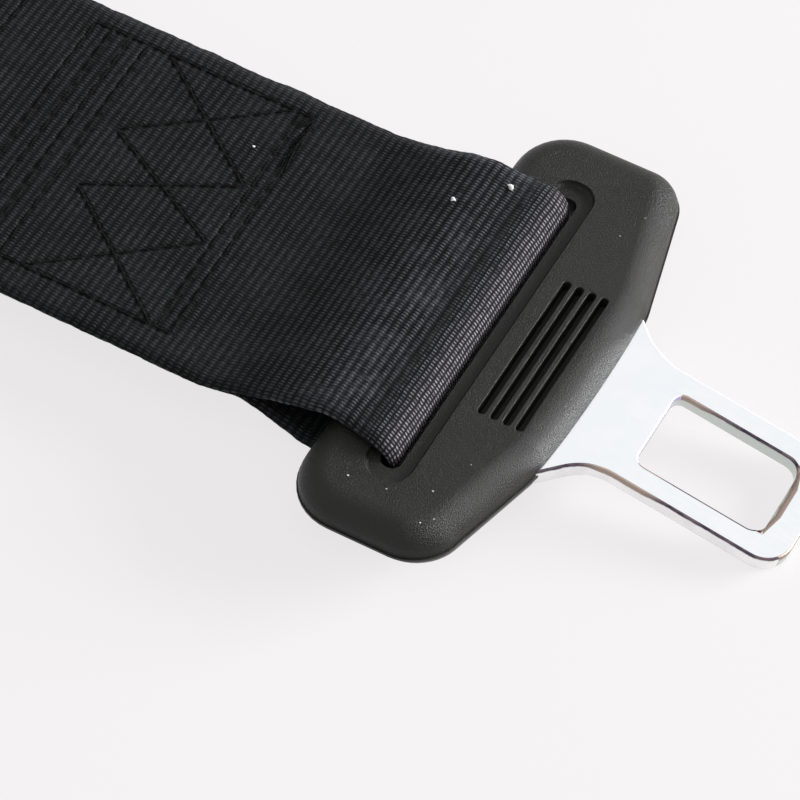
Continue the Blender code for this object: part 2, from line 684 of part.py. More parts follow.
def case_body(bm, wall):
    """The casing's outer form, or the hollow in it where a wall is given."""
    rings = []
    for s, half_width, low, high in case_sections(0.0 if wall else CASE_END_ROUNDING):
        s = min(max(s, wall), CASE_LENGTH - wall)
        radius = CASE_CORNER_RADIUS - wall
        ring = rounded_box(-half_width + wall, half_width - wall, low + wall, high - wall, radius, 4)
        if not rings or s > rings[-1][0] + TOUCH_GAP / 3:
            rings.append((s, ring))
    loft(bm, [[(at(s), y, z) for y, z in ring] for s, ring in rings])


def case_half(name, finish, parent, z0, z1):
    """One cover of the casing, between two heights."""
    bm = bmesh.new()
    case_body(bm, 0.0)
    made = add(name, bm, finish, parent)
    hollow = bmesh.new()
    case_body(hollow, CASE_WALL)
    boolean(made, hollow, "DIFFERENCE", "hollow")
    keep = bmesh.new()
    side = CASE_REAR_HALF_WIDTH + CUT_MARGIN
    block(keep, at(-CUT_MARGIN), at(CASE_LENGTH + CUT_MARGIN), -side, side, z0, z1)
    boolean(made, keep, "INTERSECT", "half")
    return made


def case_openings(bm, low_z, high_z):
    """The tongue's mouth and the strap's way out, cut from a low to a high point."""
    half = WEB_WIDTH / 2 + SLOT_END_ROOM
    block(bm, at(-CUT_MARGIN), at(CASE_WALL + CUT_MARGIN), -MOUTH_HALF_WIDTH, MOUTH_HALF_WIDTH,
          max(low_z, FRAME_TOP_Z), high_z)
    reach = GUARD_HALF_HEIGHT + WEB_THICKNESS + 2 * TOUCH_GAP + SLIDE_GAP
    block(bm, at(CASE_LENGTH - CASE_WALL - CUT_MARGIN), at(CASE_LENGTH + CUT_MARGIN), -half, half,
          max(low_z, STRAP_MID_Z - reach), min(high_z, STRAP_MID_Z + reach))


def screw_places():
    return [(s, y) for s in (SCREW_FRONT, SCREW_REAR) for y in (-SCREW_Y, SCREW_Y)]


def make_lower_cover(finish, parent):
    parting = CASE_PARTING_Z - TOUCH_GAP / 2
    made = case_half("buckle_lower_cover", finish, parent, -CUT_MARGIN, parting)
    supports = bmesh.new()
    half_width = FRAME_FRONT_HALF_WIDTH - SIDE_WALL
    for s in (SIDE_WALL_START, TOOTH_S + TOOTH_LENGTH, FRAME_SHOULDER - SIDE_WALL):
        block(supports, at(s), at(s + CASE_WALL), -half_width, half_width,
              CASE_WALL / 2, FRAME_BOTTOM_Z - TOUCH_GAP)
    boolean(made, supports, "UNION", "supports")
    posts = bmesh.new()
    for s, y in screw_places():
        turned(posts, [(BOSS_RADIUS, CASE_WALL / 2), (BOSS_RADIUS, parting)], (at(s), y, 0))
    boolean(made, posts, "UNION", "posts")
    holes = bmesh.new()
    for s, y in screw_places():
        wide, narrow = SCREW_HEAD_RADIUS + TOUCH_GAP, SCREW_RADIUS + TOUCH_GAP
        turned(holes, [(wide, -CUT_MARGIN), (wide, SCREW_SEAT_Z + TOUCH_GAP),
                       (narrow, SCREW_SEAT_Z + TOUCH_GAP), (narrow, parting + CUT_MARGIN)], (at(s), y, 0))
    boolean(made, holes, "DIFFERENCE", "screw_holes")
    openings = bmesh.new()
    case_openings(openings, 0, parting + CUT_MARGIN)
    boolean(made, openings, "DIFFERENCE", "openings")
    return made


def make_upper_cover(finish, parent):
    parting = CASE_PARTING_Z + TOUCH_GAP / 2
    made = case_half("buckle_upper_cover", finish, parent, parting, CASE_HEIGHT + CUT_MARGIN)
    posts = bmesh.new()
    for s, y in screw_places():
        turned(posts, [(BOSS_RADIUS, parting), (BOSS_RADIUS, CASE_HEIGHT - CASE_WALL / 2)], (at(s), y, 0))
    boolean(made, posts, "UNION", "posts")
    ribs = bmesh.new()
    spring_low_z = button_spring_z() - BUTTON_SPRING_RADIUS - 2 * SPRING_WIRE
    for side in (-1, 1):
        y0, y1 = sorted((side * ARM_INNER, side * BUTTON_HALF_WIDTH))
        block(ribs, at(SPRING_RIB_S), at(SPRING_RIB_S + CASE_WALL), y0, y1,
              spring_low_z, CASE_HEIGHT - CASE_WALL / 2)
    boolean(made, ribs, "UNION", "spring_ribs")
    holes = bmesh.new()
    for s, y in screw_places():
        radius = SCREW_RADIUS + TOUCH_GAP
        turned(holes, [(radius, parting - CUT_MARGIN), (radius, SCREW_TIP_Z + TOUCH_GAP)], (at(s), y, 0))
    boolean(made, holes, "DIFFERENCE", "screw_holes")
    openings = bmesh.new()
    case_openings(openings, parting - CUT_MARGIN, BUTTON_BOTTOM_Z)
    half = BUTTON_HALF_WIDTH + SLIDE_GAP
    block(openings, at(-CUT_MARGIN * 2), at(CASE_WALL + CUT_MARGIN * 2), -half, half,
          BUTTON_BOTTOM_Z - SLIDE_GAP, BUTTON_TOP_Z + SLIDE_GAP)
    boolean(made, openings, "DIFFERENCE", "openings", self_crossing=True)
    notch = bmesh.new()
    turned(notch, [(THUMB_NOTCH_RADIUS, BUTTON_TOP_Z - CASE_WALL),
                   (THUMB_NOTCH_RADIUS, CASE_HEIGHT + CUT_MARGIN)],
           (at(THUMB_NOTCH_DEPTH - THUMB_NOTCH_RADIUS), 0, 0))
    boolean(made, notch, "DIFFERENCE", "thumb_notch")
    return made


def make_screw(name, s, y, finish, parent):
    bm = bmesh.new()
    turned(bm, [(SCREW_HEAD_RADIUS * 0.8, SCREW_HEAD_RECESS),
                (SCREW_HEAD_RADIUS, SCREW_HEAD_RECESS + SCREW_HEAD_HEIGHT / 4),
                (SCREW_HEAD_RADIUS, SCREW_SEAT_Z), (SCREW_RADIUS, SCREW_SEAT_Z),
                (SCREW_RADIUS, SCREW_TIP_Z - SCREW_RADIUS), (SCREW_RADIUS / 3, SCREW_TIP_Z)], (at(s), y, 0))
    made = add(name, bm, finish, parent, (at(s), y, SCREW_SEAT_Z))
    cross = bmesh.new()
    arm, width = SCREW_HEAD_RADIUS * 0.55, SCREW_HEAD_RADIUS * 0.16
    low, high = SCREW_HEAD_RECESS - CUT_MARGIN, SCREW_HEAD_RECESS + SCREW_HEAD_HEIGHT / 2
    block(cross, at(s) - arm, at(s) + arm, y - width, y + width, low, high)
    block(cross, at(s) - width, at(s) + width, y - arm, y + arm, low, high)
    boolean(made, cross, "DIFFERENCE", "drive", self_crossing=True)
    return made


def make_frame(finish, parent):
    front, rear = FRAME_FRONT_HALF_WIDTH, FRAME_REAR_HALF_WIDTH
    half = [(at(FRAME_FRONT_SETBACK), front, FRAME_CORNER), (at(FRAME_SHOULDER), front, FRAME_CORNER),
            (at(FRAME_SHOULDER), rear, FRAME_CORNER), (at(FRAME_END), rear, 2 * FRAME_CORNER)]
    bm = bmesh.new()
    prism(bm, filleted(mirrored(half), 3), FRAME_BOTTOM_Z, FRAME_TOP_Z)
    made = add("buckle_frame", bm, finish, parent)

    walls = bmesh.new()
    low = FRAME_BOTTOM_Z + FRAME_THICKNESS / 2
    top = FRAME_TOP_Z + SIDE_WALL_HEIGHT
    ear_top = PIVOT_Z + PIVOT_PIN_RADIUS + EAR_MARGIN / 2
    ear0, ear1 = PIVOT_S - EAR_LENGTH / 2, PIVOT_S + EAR_LENGTH / 2
    wall_end = FRAME_SHOULDER - SIDE_WALL / 2
    profile = [(SIDE_WALL_START, low), (wall_end, low), (wall_end, top), (ear1, ear_top),
               (ear0, ear_top), (ear0 - EAR_MARGIN, top), (SIDE_WALL_START, top)]
    for side in (-1, 1):
        y0, y1 = sorted((side * CHANNEL_HALF_WIDTH, side * (CHANNEL_HALF_WIDTH + SIDE_WALL)))
        slab(walls, [(at(s), z) for s, z in profile], y0, y1)
    boolean(made, walls, "UNION", "side_walls")

    tab = bmesh.new()
    block(tab, at(STOP_TAB_S), at(STOP_TAB_S + STOP_TAB), -STOP_TAB_HALF_WIDTH, STOP_TAB_HALF_WIDTH,
          low, ejector_spring_z() + EJECTOR_SPRING_RADIUS + 2 * SPRING_WIRE)
    boolean(made, tab, "UNION", "spring_stop")

    cuts = bmesh.new()
    prism(cuts, rounded_box(at(FRAME_SLOT_START), at(FRAME_SLOT_END), -FRAME_SLOT_HALF_WIDTH,
                            FRAME_SLOT_HALF_WIDTH, FRAME_CORNER, 3),
          FRAME_BOTTOM_Z - CUT_MARGIN, FRAME_TOP_Z + CUT_MARGIN)
    room = 2 * SLIDE_GAP
    block(cuts, at(TOOTH_S - TOOTH_LENGTH - room), at(TOOTH_S + TOOTH_REAR_ROOM), -TOOTH_HALF_WIDTH - room,
          TOOTH_HALF_WIDTH + room, FRAME_BOTTOM_Z - CUT_MARGIN, FRAME_TOP_Z + CUT_MARGIN)
    radius = PIVOT_PIN_RADIUS + TOUCH_GAP
    turned(cuts, [(radius, -front - CUT_MARGIN), (radius, front + CUT_MARGIN)],
           (at(PIVOT_S), 0, PIVOT_Z), "Y")
    boolean(made, cuts, "DIFFERENCE", "slots_and_bores")
    return made


def make_guard(finish, parent):
    """The plastic clip that keeps the webbing off the frame bar's edge."""
    half = FRAME_SLOT_HALF_WIDTH - SLIDE_GAP
    x0 = FRAME_SLOT_END - TOUCH_GAP - GUARD_WALL
    x1 = FRAME_END - FRAME_BAR / 4
    bm = bmesh.new()
    slab(bm, [(at(x0), STRAP_MID_Z - GUARD_HALF_HEIGHT), (at(x1), STRAP_MID_Z - GUARD_HALF_HEIGHT),
              (at(x1), FRAME_BOTTOM_Z - TOUCH_GAP), (at(x0 + GUARD_WALL), FRAME_BOTTOM_Z - TOUCH_GAP),
              (at(x0 + GUARD_WALL), FRAME_TOP_Z + TOUCH_GAP), (at(x1), FRAME_TOP_Z + TOUCH_GAP),
              (at(x1), STRAP_MID_Z + GUARD_HALF_HEIGHT), (at(x0), STRAP_MID_Z + GUARD_HALF_HEIGHT)],
         -half, half)
    return add("webbing_guard", bm, finish, parent)


def make_pin(name, s, z, radius, half_length, finish, parent):
    bm = bmesh.new()
    chamfer = radius / 5
    turned(bm, [(radius - chamfer, -half_length), (radius, -half_length + chamfer),
                (radius, half_length - chamfer), (radius - chamfer, half_length)], (at(s), 0, z), "Y")
    return add(name, bm, finish, parent, (at(s), 0, z))


def make_latch(finish, parent):
    plate_low = LATCH_TOP_Z - LATCH_THICKNESS
    bm = bmesh.new()
    block(bm, at(TOOTH_S - TOOTH_LENGTH), at(PIVOT_S), -LATCH_HALF_WIDTH, LATCH_HALF_WIDTH,
          plate_low, LATCH_TOP_Z)
    made = add("latch", bm, finish, parent)

    barrel = bmesh.new()
    turned(barrel, [(BARREL_RADIUS, -LATCH_HALF_WIDTH), (BARREL_RADIUS, LATCH_HALF_WIDTH)],
           (at(PIVOT_S), 0, PIVOT_Z), "Y")
    boolean(made, barrel, "UNION", "barrel")

    tooth = bmesh.new()
    middle = (plate_low + LATCH_TOP_Z) / 2
    foot = FRAME_TOP_Z - TOOTH_BITE
    ramp_top = FRAME_TOP_Z + PLATE_THICKNESS + SLIDE_GAP
    front, rear = TOOTH_S - TOOTH_LENGTH, TOOTH_S
    slab(tooth, [(at(front), middle), (at(front), ramp_top), (at(rear - TOOTH_LENGTH / 3), foot),
                 (at(rear), foot), (at(rear), middle)], -TOOTH_HALF_WIDTH, TOOTH_HALF_WIDTH)
    boolean(made, tooth, "UNION", "tooth")

    lugs = bmesh.new()
    lug_top = LIFT_PIN_Z + LIFT_PIN_RADIUS + TOUCH_GAP + BARREL_WALL
    for side in (-1, 1):
        y0, y1 = sorted((side * (LATCH_HALF_WIDTH - CUT_MARGIN / 2),
                         side * (LATCH_HALF_WIDTH - CUT_MARGIN / 2 - LUG_WIDTH)))
        block(lugs, at(LIFT_PIN_S - LUG_HALF_LENGTH), at(LIFT_PIN_S + LUG_HALF_LENGTH), y0, y1,
              middle, lug_top)
    boolean(made, lugs, "UNION", "lugs")

    bores = bmesh.new()
    for s, z, radius in ((PIVOT_S, PIVOT_Z, PIVOT_PIN_RADIUS), (LIFT_PIN_S, LIFT_PIN_Z, LIFT_PIN_RADIUS)):
        turned(bores, [(radius + TOUCH_GAP, -LATCH_HALF_WIDTH - CUT_MARGIN),
                       (radius + TOUCH_GAP, LATCH_HALF_WIDTH + CUT_MARGIN)], (at(s), 0, z), "Y")
    boolean(made, bores, "DIFFERENCE", "bores")
    return made


def lift_pin_travel():
    """How far the lift pin moves, seen from the button, as the button is pressed home."""
    angle = math.radians(LIFT_ANGLE_DEG)
    s, z = LIFT_PIN_S - PIVOT_S, LIFT_PIN_Z - PIVOT_Z
    turned_s = s * math.cos(angle) + z * math.sin(angle)
    turned_z = -s * math.sin(angle) + z * math.cos(angle)
    return Vector((turned_s - s - BUTTON_TRAVEL, turned_z - z))


def make_button(finish, parent):
    bm = bmesh.new()
    front = -BUTTON_PROUD
    block(bm, at(front), at(BUTTON_ARM_END), -BUTTON_HALF_WIDTH, BUTTON_HALF_WIDTH,
          BUTTON_BOTTOM_Z, BUTTON_TOP_Z)
    made = add("release_button", bm, finish, parent, (at(0), 0, (BUTTON_BOTTOM_Z + BUTTON_TOP_Z) / 2))

    hollow = bmesh.new()
    block(hollow, at(front + BUTTON_WALL), at(BUTTON_ARM_END + CUT_MARGIN), -ARM_INNER, ARM_INNER,
          BUTTON_BOTTOM_Z + BUTTON_WALL / 2, BUTTON_TOP_Z - BUTTON_WALL)
    boolean(made, hollow, "DIFFERENCE", "hollow")
    rear = bmesh.new()
    block(rear, at(BUTTON_TOP_LENGTH), at(BUTTON_ARM_END + CUT_MARGIN), -ARM_INNER, ARM_INNER,
          BUTTON_BOTTOM_Z - CUT_MARGIN, BUTTON_TOP_Z + CUT_MARGIN)
    boolean(made, rear, "DIFFERENCE", "rear")

    travel = lift_pin_travel()
    radius = LIFT_PIN_RADIUS + SLIDE_GAP
    lean = math.degrees(math.atan2(travel.y, travel.x))
    start = (at(LIFT_PIN_S), LIFT_PIN_Z)
    end = (at(LIFT_PIN_S) + travel.x, LIFT_PIN_Z + travel.y)
    profile = arc(start, radius, lean - 270, lean - 90, 8) + arc(end, radius, lean - 90, lean + 90, 8)
    ramps = bmesh.new()
    slab(ramps, profile, -BUTTON_HALF_WIDTH - CUT_MARGIN, BUTTON_HALF_WIDTH + CUT_MARGIN)
    boolean(made, ramps, "DIFFERENCE", "lift_slots")
    return made


def ejector_spring_z():
    return FRAME_TOP_Z + TOUCH_GAP + SPRING_WIRE + EJECTOR_SPRING_RADIUS


def button_spring_z():
    return BUTTON_TOP_Z - BUTTON_SPRING_RADIUS - 2 * SPRING_WIRE - SLIDE_GAP


def make_ejector(finish, parent):
    half = CHANNEL_HALF_WIDTH - SLIDE_GAP
    front, rear = EJECTOR_FRONT, EJECTOR_FRONT + EJECTOR_LENGTH
    bm = bmesh.new()
    block(bm, at(front), at(rear), -half, half, EJECTOR_BOTTOM_Z, EJECTOR_TOP_Z)
    made = add("ejector", bm, finish, parent, (at(front), 0, EJECTOR_BOTTOM_Z))
    fork = bmesh.new()
    slot = TOOTH_HALF_WIDTH + 3 * SLIDE_GAP
    block(fork, at(front - CUT_MARGIN), at(rear - EJECTOR_BAR), -slot, slot,
          EJECTOR_BOTTOM_Z - CUT_MARGIN, EJECTOR_TOP_Z + CUT_MARGIN)
    boolean(made, fork, "DIFFERENCE", "fork")
    return made


def make_springs(finish, parent):
    room = TOUCH_GAP + SPRING_WIRE
    z = button_spring_z()
    for name, y in (("button_spring_left", -ARM_MIDDLE), ("button_spring_right", ARM_MIDDLE)):
        spring(name, (at(BUTTON_ARM_END + room), y, z), (at(SPRING_RIB_S - room), y, z),
               BUTTON_SPRING_RADIUS, BUTTON_SPRING_TURNS, finish, parent)
    spring("latch_spring", (at(LATCH_SPRING_S), 0, LATCH_TOP_Z + room),
           (at(LATCH_SPRING_S), 0, CASE_INNER_TOP_Z - room),
           LATCH_SPRING_RADIUS, LATCH_SPRING_TURNS, finish, parent)
    z = ejector_spring_z()
    spring("ejector_spring", (at(EJECTOR_FRONT + EJECTOR_LENGTH + room), 0, z),
           (at(STOP_TAB_S - room), 0, z), EJECTOR_SPRING_RADIUS, EJECTOR_SPRING_TURNS, finish, parent)


def main():
    for item in list(bpy.data.objects):
        bpy.data.objects.remove(item, do_unlink=True)

    plastic = material("black_plastic", (0.035, 0.035, 0.034), 0.55)
    steel = material("plated_steel", (0.80, 0.81, 0.83), 0.18, 1.0)
    plain_steel = material("zinc_steel", (0.55, 0.56, 0.58), 0.35, 1.0)
    weave = material("black_webbing", (0.022, 0.025, 0.027), 0.75)
    thread = material("black_thread", (0.018, 0.018, 0.019), 0.7)
    red = material("red_plastic", (0.55, 0.02, 0.015), 0.4)
    white = material("natural_plastic", (0.75, 0.73, 0.68), 0.45)
    wire = material("spring_wire", (0.45, 0.45, 0.46), 0.3, 1.0)

    extender = empty("extender", (0, 0, 0))
    extender.location = (-MIDDLE_X, 0, 0)
    tongue = empty("tongue_pivot", (TONGUE_PIVOT_X, 0, (HEAD_BOTTOM_Z + HEAD_TOP_Z) / 2), extender)
    make_tongue_plate(steel, tongue)
    make_tongue_head(plastic, tongue)
    make_webbing(weave, extender)
    make_stitching("tongue_end_stitching", 0.0, -1, thread, extender)
    make_stitching("buckle_end_stitching", -FOLD_TO_FOLD, 1, thread, extender)

    make_lower_cover(plastic, extender)
    make_upper_cover(plastic, extender)
    make_frame(plain_steel, extender)
    make_guard(white, extender)
    ends = ("front_left", "front_right", "rear_left", "rear_right")
    for end, (s, y) in zip(ends, screw_places()):
        make_screw(f"casing_screw_{end}", s, y, plain_steel, extender)
    make_pin("latch_pivot_pin", PIVOT_S, PIVOT_Z, PIVOT_PIN_RADIUS, FRAME_FRONT_HALF_WIDTH,
             plain_steel, extender)

    hinge = empty("latch_hinge", (at(PIVOT_S), 0, PIVOT_Z), extender)
    make_latch(plain_steel, hinge)
    make_pin("lift_pin", LIFT_PIN_S, LIFT_PIN_Z, LIFT_PIN_RADIUS, BUTTON_HALF_WIDTH - SLIDE_GAP,
             plain_steel, hinge)
    make_button(red, extender)
    make_ejector(white, extender)
    make_springs(wire, extender)


main()
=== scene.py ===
"""Looks of the seat belt extender: ribbed webbing with its sewn seams, the moulded head, the plated
tongue and the buckle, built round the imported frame.

Lengths are in metres. X runs along the strap towards the tongue's tip, Y across it and Z up.
Places on the tongue are measured along X from the webbing's fold in the head, and places in a seam
from the fold at its own end.
"""

import math

import bmesh
import bpy
from mathutils import Matrix, Vector, noise


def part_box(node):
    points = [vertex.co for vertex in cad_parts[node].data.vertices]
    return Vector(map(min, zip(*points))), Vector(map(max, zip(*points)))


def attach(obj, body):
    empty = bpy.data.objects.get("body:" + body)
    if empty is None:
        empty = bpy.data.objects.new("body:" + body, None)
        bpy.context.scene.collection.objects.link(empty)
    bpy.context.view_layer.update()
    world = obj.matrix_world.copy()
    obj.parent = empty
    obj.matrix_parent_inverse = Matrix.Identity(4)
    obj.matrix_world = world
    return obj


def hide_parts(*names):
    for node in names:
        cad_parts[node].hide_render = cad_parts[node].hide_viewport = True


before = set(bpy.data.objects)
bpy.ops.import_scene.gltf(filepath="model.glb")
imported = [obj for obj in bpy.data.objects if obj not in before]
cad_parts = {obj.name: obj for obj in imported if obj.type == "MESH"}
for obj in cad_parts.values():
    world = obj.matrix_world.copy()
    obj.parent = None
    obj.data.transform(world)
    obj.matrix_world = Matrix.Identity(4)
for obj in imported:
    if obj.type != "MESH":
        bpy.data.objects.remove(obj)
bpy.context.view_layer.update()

STRAP_BODY = "strap_and_buckle"
TONGUE_BODY = "tongue"

# Places read from the frame
FOLD_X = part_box("webbing")[1].x
BUCKLE_FOLD_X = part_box("webbing")[0].x
HEAD_BOTTOM_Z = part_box("tongue_head")[0].z
HEAD_TOP_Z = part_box("tongue_head")[1].z
HEAD_HALF_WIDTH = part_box("tongue_head")[1].y
PLATE_TOP_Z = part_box("tongue_plate")[1].z

# Webbing
WEB_WIDTH = 0.048
WEB_THICKNESS = 0.0012
LAYER_GAP = 0.0001
LOOP_GAP = 0.0005
STRAP_MID_Z = 0.0069
LOOP_RUN = 0.018
TAIL_LENGTH = 0.0728
HEAD_HUMP = 0.009
HEAD_FOLD_RADIUS = 0.0034
FRAME_HUMP = 0.0106
FRAME_FOLD_RADIUS = 0.0012
FRAME_LOOP_REACH = 0.00295
RIB_PITCH = 0.00114
RIB_DEPTH = 0.00014
YARN_PITCH = 0.00048
YARN_SLANT = -0.06
FOLD_RIB_PITCH = 0.00066
ROWS_PER_RIB = 6
WEB_COLUMNS = 24
SELVEDGE = 0.0007
SELVEDGE_FLOOR = 0.10
NEAR_EDGE = -0.0234
FAR_EDGE = 0.0241
EDGE_CROWDING = 0.35
EDGE_WAVES = ((140, 0.0, 0.00030), (520, 5.0, 0.00014))
HUMP_PINCH = 0.0012
PINCH_STARTS = (0.001, 0.010)
PINCH_ENDS = (0.022, 0.029)
FAR_PINCH_ENDS = (0.006, 0.018)
LOWER_LAYER_SHIFT = 0.0010
LOWER_SHIFT_STARTS = (0.009, 0.030)

# Where the webbing changes near the head, back from the fold, and the height of its upper layer there
SHALLOW_RIBS_FROM = 0.005
SHALLOW_RIB_SHARE = 0.25
TIGHT_RIBS_FROM = (0.0050, 0.0040)
# The dip, crest and bend places below carry painted light: painted shade in the dip before the fold, a
# painted sheen on the hump's crest and a painted highlight where the yarns bend over the slot
DIP_SHADE_AT = 0.0052
CREST_SHEEN_FROM = (0.024, 0.010)
FOLD_HIGHLIGHT_FROM = (0.0036, 0.0008)
UPPER_LAYER_Z = (0.0075, 0.0085)

# Sewing, measured from a fold along the strap and from the middle across it
SEAM_LEAD_ROWS = (0.0358, 0.0379)
SEAM_ZIGZAG = (0.0388, 0.0580)
SEAM_TAIL_ROWS = (0.0612, 0.0639, 0.0666, 0.0693)
SEAM_CORNERS = (-0.01872, -0.00391, 0.00641, 0.02081)
SEAM_SKEW = 0.035
STITCH_LENGTH = 0.0029
THREAD_WIDTH = 0.00036
THREAD_HEIGHT = 0.00020
THREAD_SINK = 0.00010
STITCH_STRAY = 0.00022
STITCH_GAP = 0.06
LOOSE_STITCHES = 18
LOOSE_PLACE = (0.0002, 0.0052)
LOOSE_SPREAD = (0.0010, 0.009)
LOOSE_LEAN = (0.0008, 0.0013)
LOOSE_LIFT = 0.00008

# Fluff and crumbs: place from the fold, across, height and radius on the webbing, and place from the
# fold and across on the head
WEB_LINT = ((-0.0075, 0.0204, 0.0125, 0.00036), (-0.0131, 0.0152, 0.0122, 0.00026),
            (-0.0412, 0.0127, 0.0083, 0.00016))
HEAD_LINT = ((0.0092, 0.0258), (0.0082, -0.0287), (-0.0041, -0.0282), (0.0077, 0.0216),
             (0.0083, -0.0193), (0.0061, -0.0251), (0.0070, -0.0300), (0.0010, -0.0276))
HEAD_LINT_RADIUS = 0.00009

# Moulded head, from the fold
HEAD_REAR = 0.011
HEAD_SIDE_FRONT = 0.0102
HEAD_FRONT = 0.0155
HEAD_FRONT_BULGE = 0.0009
HEAD_LEAN = 0.012
HEAD_SIDE_LEAN = 0.006
HEAD_NEAR_SHIFT = 0.0004
HEAD_FAR_SHIFT = 0.0008
HEAD_NEAR_ROUNDER = 1.25
NECK_HALF_WIDTH = 0.0136
NECK_ROUNDING = 0.0008
HEAD_REAR_ROUNDING = 0.0075
HEAD_FRONT_ROUNDING = 0.0041
HEAD_BULGE_ROUNDING = 0.0110
HEAD_EDGE_RADIUS = 0.0038
HEAD_EDGE_STEPS = 9
HEAD_PARTING_Z = HEAD_TOP_Z - HEAD_EDGE_RADIUS - 0.0002
HEAD_PARTING_STEP = 0.00016
HEAD_FLANGE = 0.0004
HEAD_END_TAPER = 0.0009
HEAD_SIDE_TAPER = 0.0017
HEAD_FOOT_CHAMFER = 0.0005
SLOT = (-0.0022, 0.0006, 0.0243)
SLOT_FLARE = 0.0011
RECESS = (-0.0038, 0.0026, 0.0268)
RECESS_STEPS = ((0.0, 0.0), (0.00008, 0.00022), (0.00018, 0.00046), (0.00032, 0.00064),
                (0.0005, 0.0007))
GROOVES = 4
GROOVE_START = 0.0055
GROOVE_PITCH = 0.00178
GROOVE_WIDTH = 0.00105
GROOVE_HALF_LENGTH = 0.0118
GROOVE_DEPTH = 0.0018
GROOVE_RIM_START = 0.0045
GROOVE_RIM_MARGIN = 0.001
GROOVE_RIM_ROUNDING = 0.00016

# Steel tongue, drawn flat and then bent, from the fold
PLATE_THICKNESS = 0.00245
PLATE_HALF_WIDTH = 0.0310
BLADE_HALF_WIDTH = 0.0093
BLADE_START = 0.0198
BLADE_LENGTH = 0.0270
BLADE_DROP = math.radians(10.8)
BEND_RADIUS = 0.006
BEND_START = BLADE_START - BEND_RADIUS * math.tan(BLADE_DROP / 2)
BEND_END = BEND_START + BEND_RADIUS * BLADE_DROP
FLAT_SHIFT = BEND_END - BLADE_START - BEND_RADIUS * math.tan(BLADE_DROP / 2)
WINDOW = (BLADE_START + 0.0047 + FLAT_SHIFT, BLADE_START + 0.0228 + FLAT_SHIFT, 0.00605)
WINDOW_ROUNDINGS = (0.0014, 0.0021)
COINED_EDGE = 0.00030
PLATE_REAR = 0.0086
PLATE_SHOULDER = 0.0083
NECK_START = 0.0129
NECK_FLARE = 0.0026
PLATE_SLOT_MARGIN = 0.0014
REAR_ROUNDING, SHOULDER_ROUNDING, ROOT_ROUNDING, TIP_ROUNDING = 0.0036, 0.0030, 0.0033, 0.004
BEND_CUTS = 7

# The flat rubbed on the window's tip edge: places across with its size there, and its reach inwards
CHAMFER_RINGS = ((-0.0056, 0.0001), (-0.0024, 0.0010), (0.0024, 0.0010), (0.0056, 0.0001))
CHAMFER_BACK = 0.0012

# Tints and painted reflections on the punched walls: from the fold, from the window's tip and rear,
# across, and in depth
NECK_TINT = (0.0185, 0.0215, 0.0265, 0.0310)
TIP_TINT = (0.0012, 0.0004)
REAR_TINT = 0.0004
WINDOW_WALLS_Y = 0.0075
FAR_WALL_Y = 0.0078
RIM_DEPTH = 0.00022
BROWN_DEPTH = 0.0005
TORN_DEPTH = (0.0021, 0.0024)

# Floor, light and camera
FLOOR_SIZE = 4.0
FLOOR_DROP = 0.0001
FLOOR_COLOUR = (0.888, 0.871, 0.879, 1.0)
FLOOR_GLOW = 0.86
WORLD_COLOUR = (0.90, 0.895, 0.905, 1.0)
WORLD_LIGHT, WORLD_SEEN = 0.35, 1.05
LAMP_TARGET = (0.06, 0.0, 0.0)
LAMPS = (("overhead_softbox", (0.30, -0.25, 1.15), (0.7, 0.7), 2.2, (1.0, 0.985, 0.97)),
         ("right_softbox", (0.83, 0.60, 0.30), (0.60, 0.34), 28.0, (1.0, 0.99, 1.0)),
         ("left_fill", (-0.35, -0.85, 0.55), (0.6, 0.5), 0.8, (0.96, 0.98, 1.0)))
CAMERA_PLACE = (0.23553, -0.32266, 0.48708)
CAMERA_RIGHT = (0.87435, 0.48493, 0.01882)
CAMERA_UP = (-0.40182, 0.70165, 0.58841)
CAMERA_LENS = 213.34
CAMERA_SENSOR = 36.0

# Mesh work
ROUND_STEPS = 10
ARC_STEPS = 14
EASE_STEPS = 30
END_ROUNDING = 0.46
CUT_MARGIN = 0.001
SAME_PLACE = 1e-6
MERGE_DISTANCE = 1e-7


# Node trees

# Places of a colour mix node's sockets
MIX_FIRST, MIX_SECOND, MIX_RESULT = 6, 7, 2


class Board:
    """A node tree, with short ways to put nodes on it and wire them."""

    def __init__(self, tree):
        self.tree = tree

    def put(self, kind, inputs=None, **settings):
        made = self.tree.nodes.new(kind)
        for key, value in settings.items():
            setattr(made, key, value)
        for key, value in (inputs or {}).items():
            if isinstance(value, bpy.types.NodeSocket):
                self.tree.links.new(value, made.inputs[key])
            else:
                made.inputs[key].default_value = value
        return made

    def math(self, operation, *values):
        return self.put("ShaderNodeMath", dict(enumerate(values)), operation=operation).outputs[0]

    def map(self, value, low, high, to_low=0.0, to_high=1.0, smooth=True):
        kind = "SMOOTHSTEP" if smooth else "LINEAR"
        made = self.put("ShaderNodeMapRange", {"Value": value, "From Min": low, "From Max": high,
                                               "To Min": to_low, "To Max": to_high},
                        interpolation_type=kind)
        return made.outputs["Result"]

    def mix(self, factor, first, second):
        made = self.put("ShaderNodeMix", {"Factor": factor, MIX_FIRST: first, MIX_SECOND: second},
                        data_type="RGBA")
        return made.outputs[MIX_RESULT]

    def noise(self, place, scale, detail=2.0, roughness=0.5):
        return self.put("ShaderNodeTexNoise", {"Vector": place, "Scale": scale, "Detail": detail,
                                               "Roughness": roughness}).outputs["Fac"]

    def place(self):
        return self.put("ShaderNodeTexCoord").outputs["Object"]

    def split(self, vector):
        return self.put("ShaderNodeSeparateXYZ", {"Vector": vector}).outputs

    def stretch(self, vector, scale):
        return self.put("ShaderNodeMapping", {"Vector": vector, "Scale": scale}).outputs["Vector"]

    def bump(self, height, strength, distance, normal=None):
        inputs = {"Height": height, "Strength": strength, "Distance": distance}
        if normal is not None:
            inputs["Normal"] = normal
        return self.put("ShaderNodeBump", inputs).outputs["Normal"]


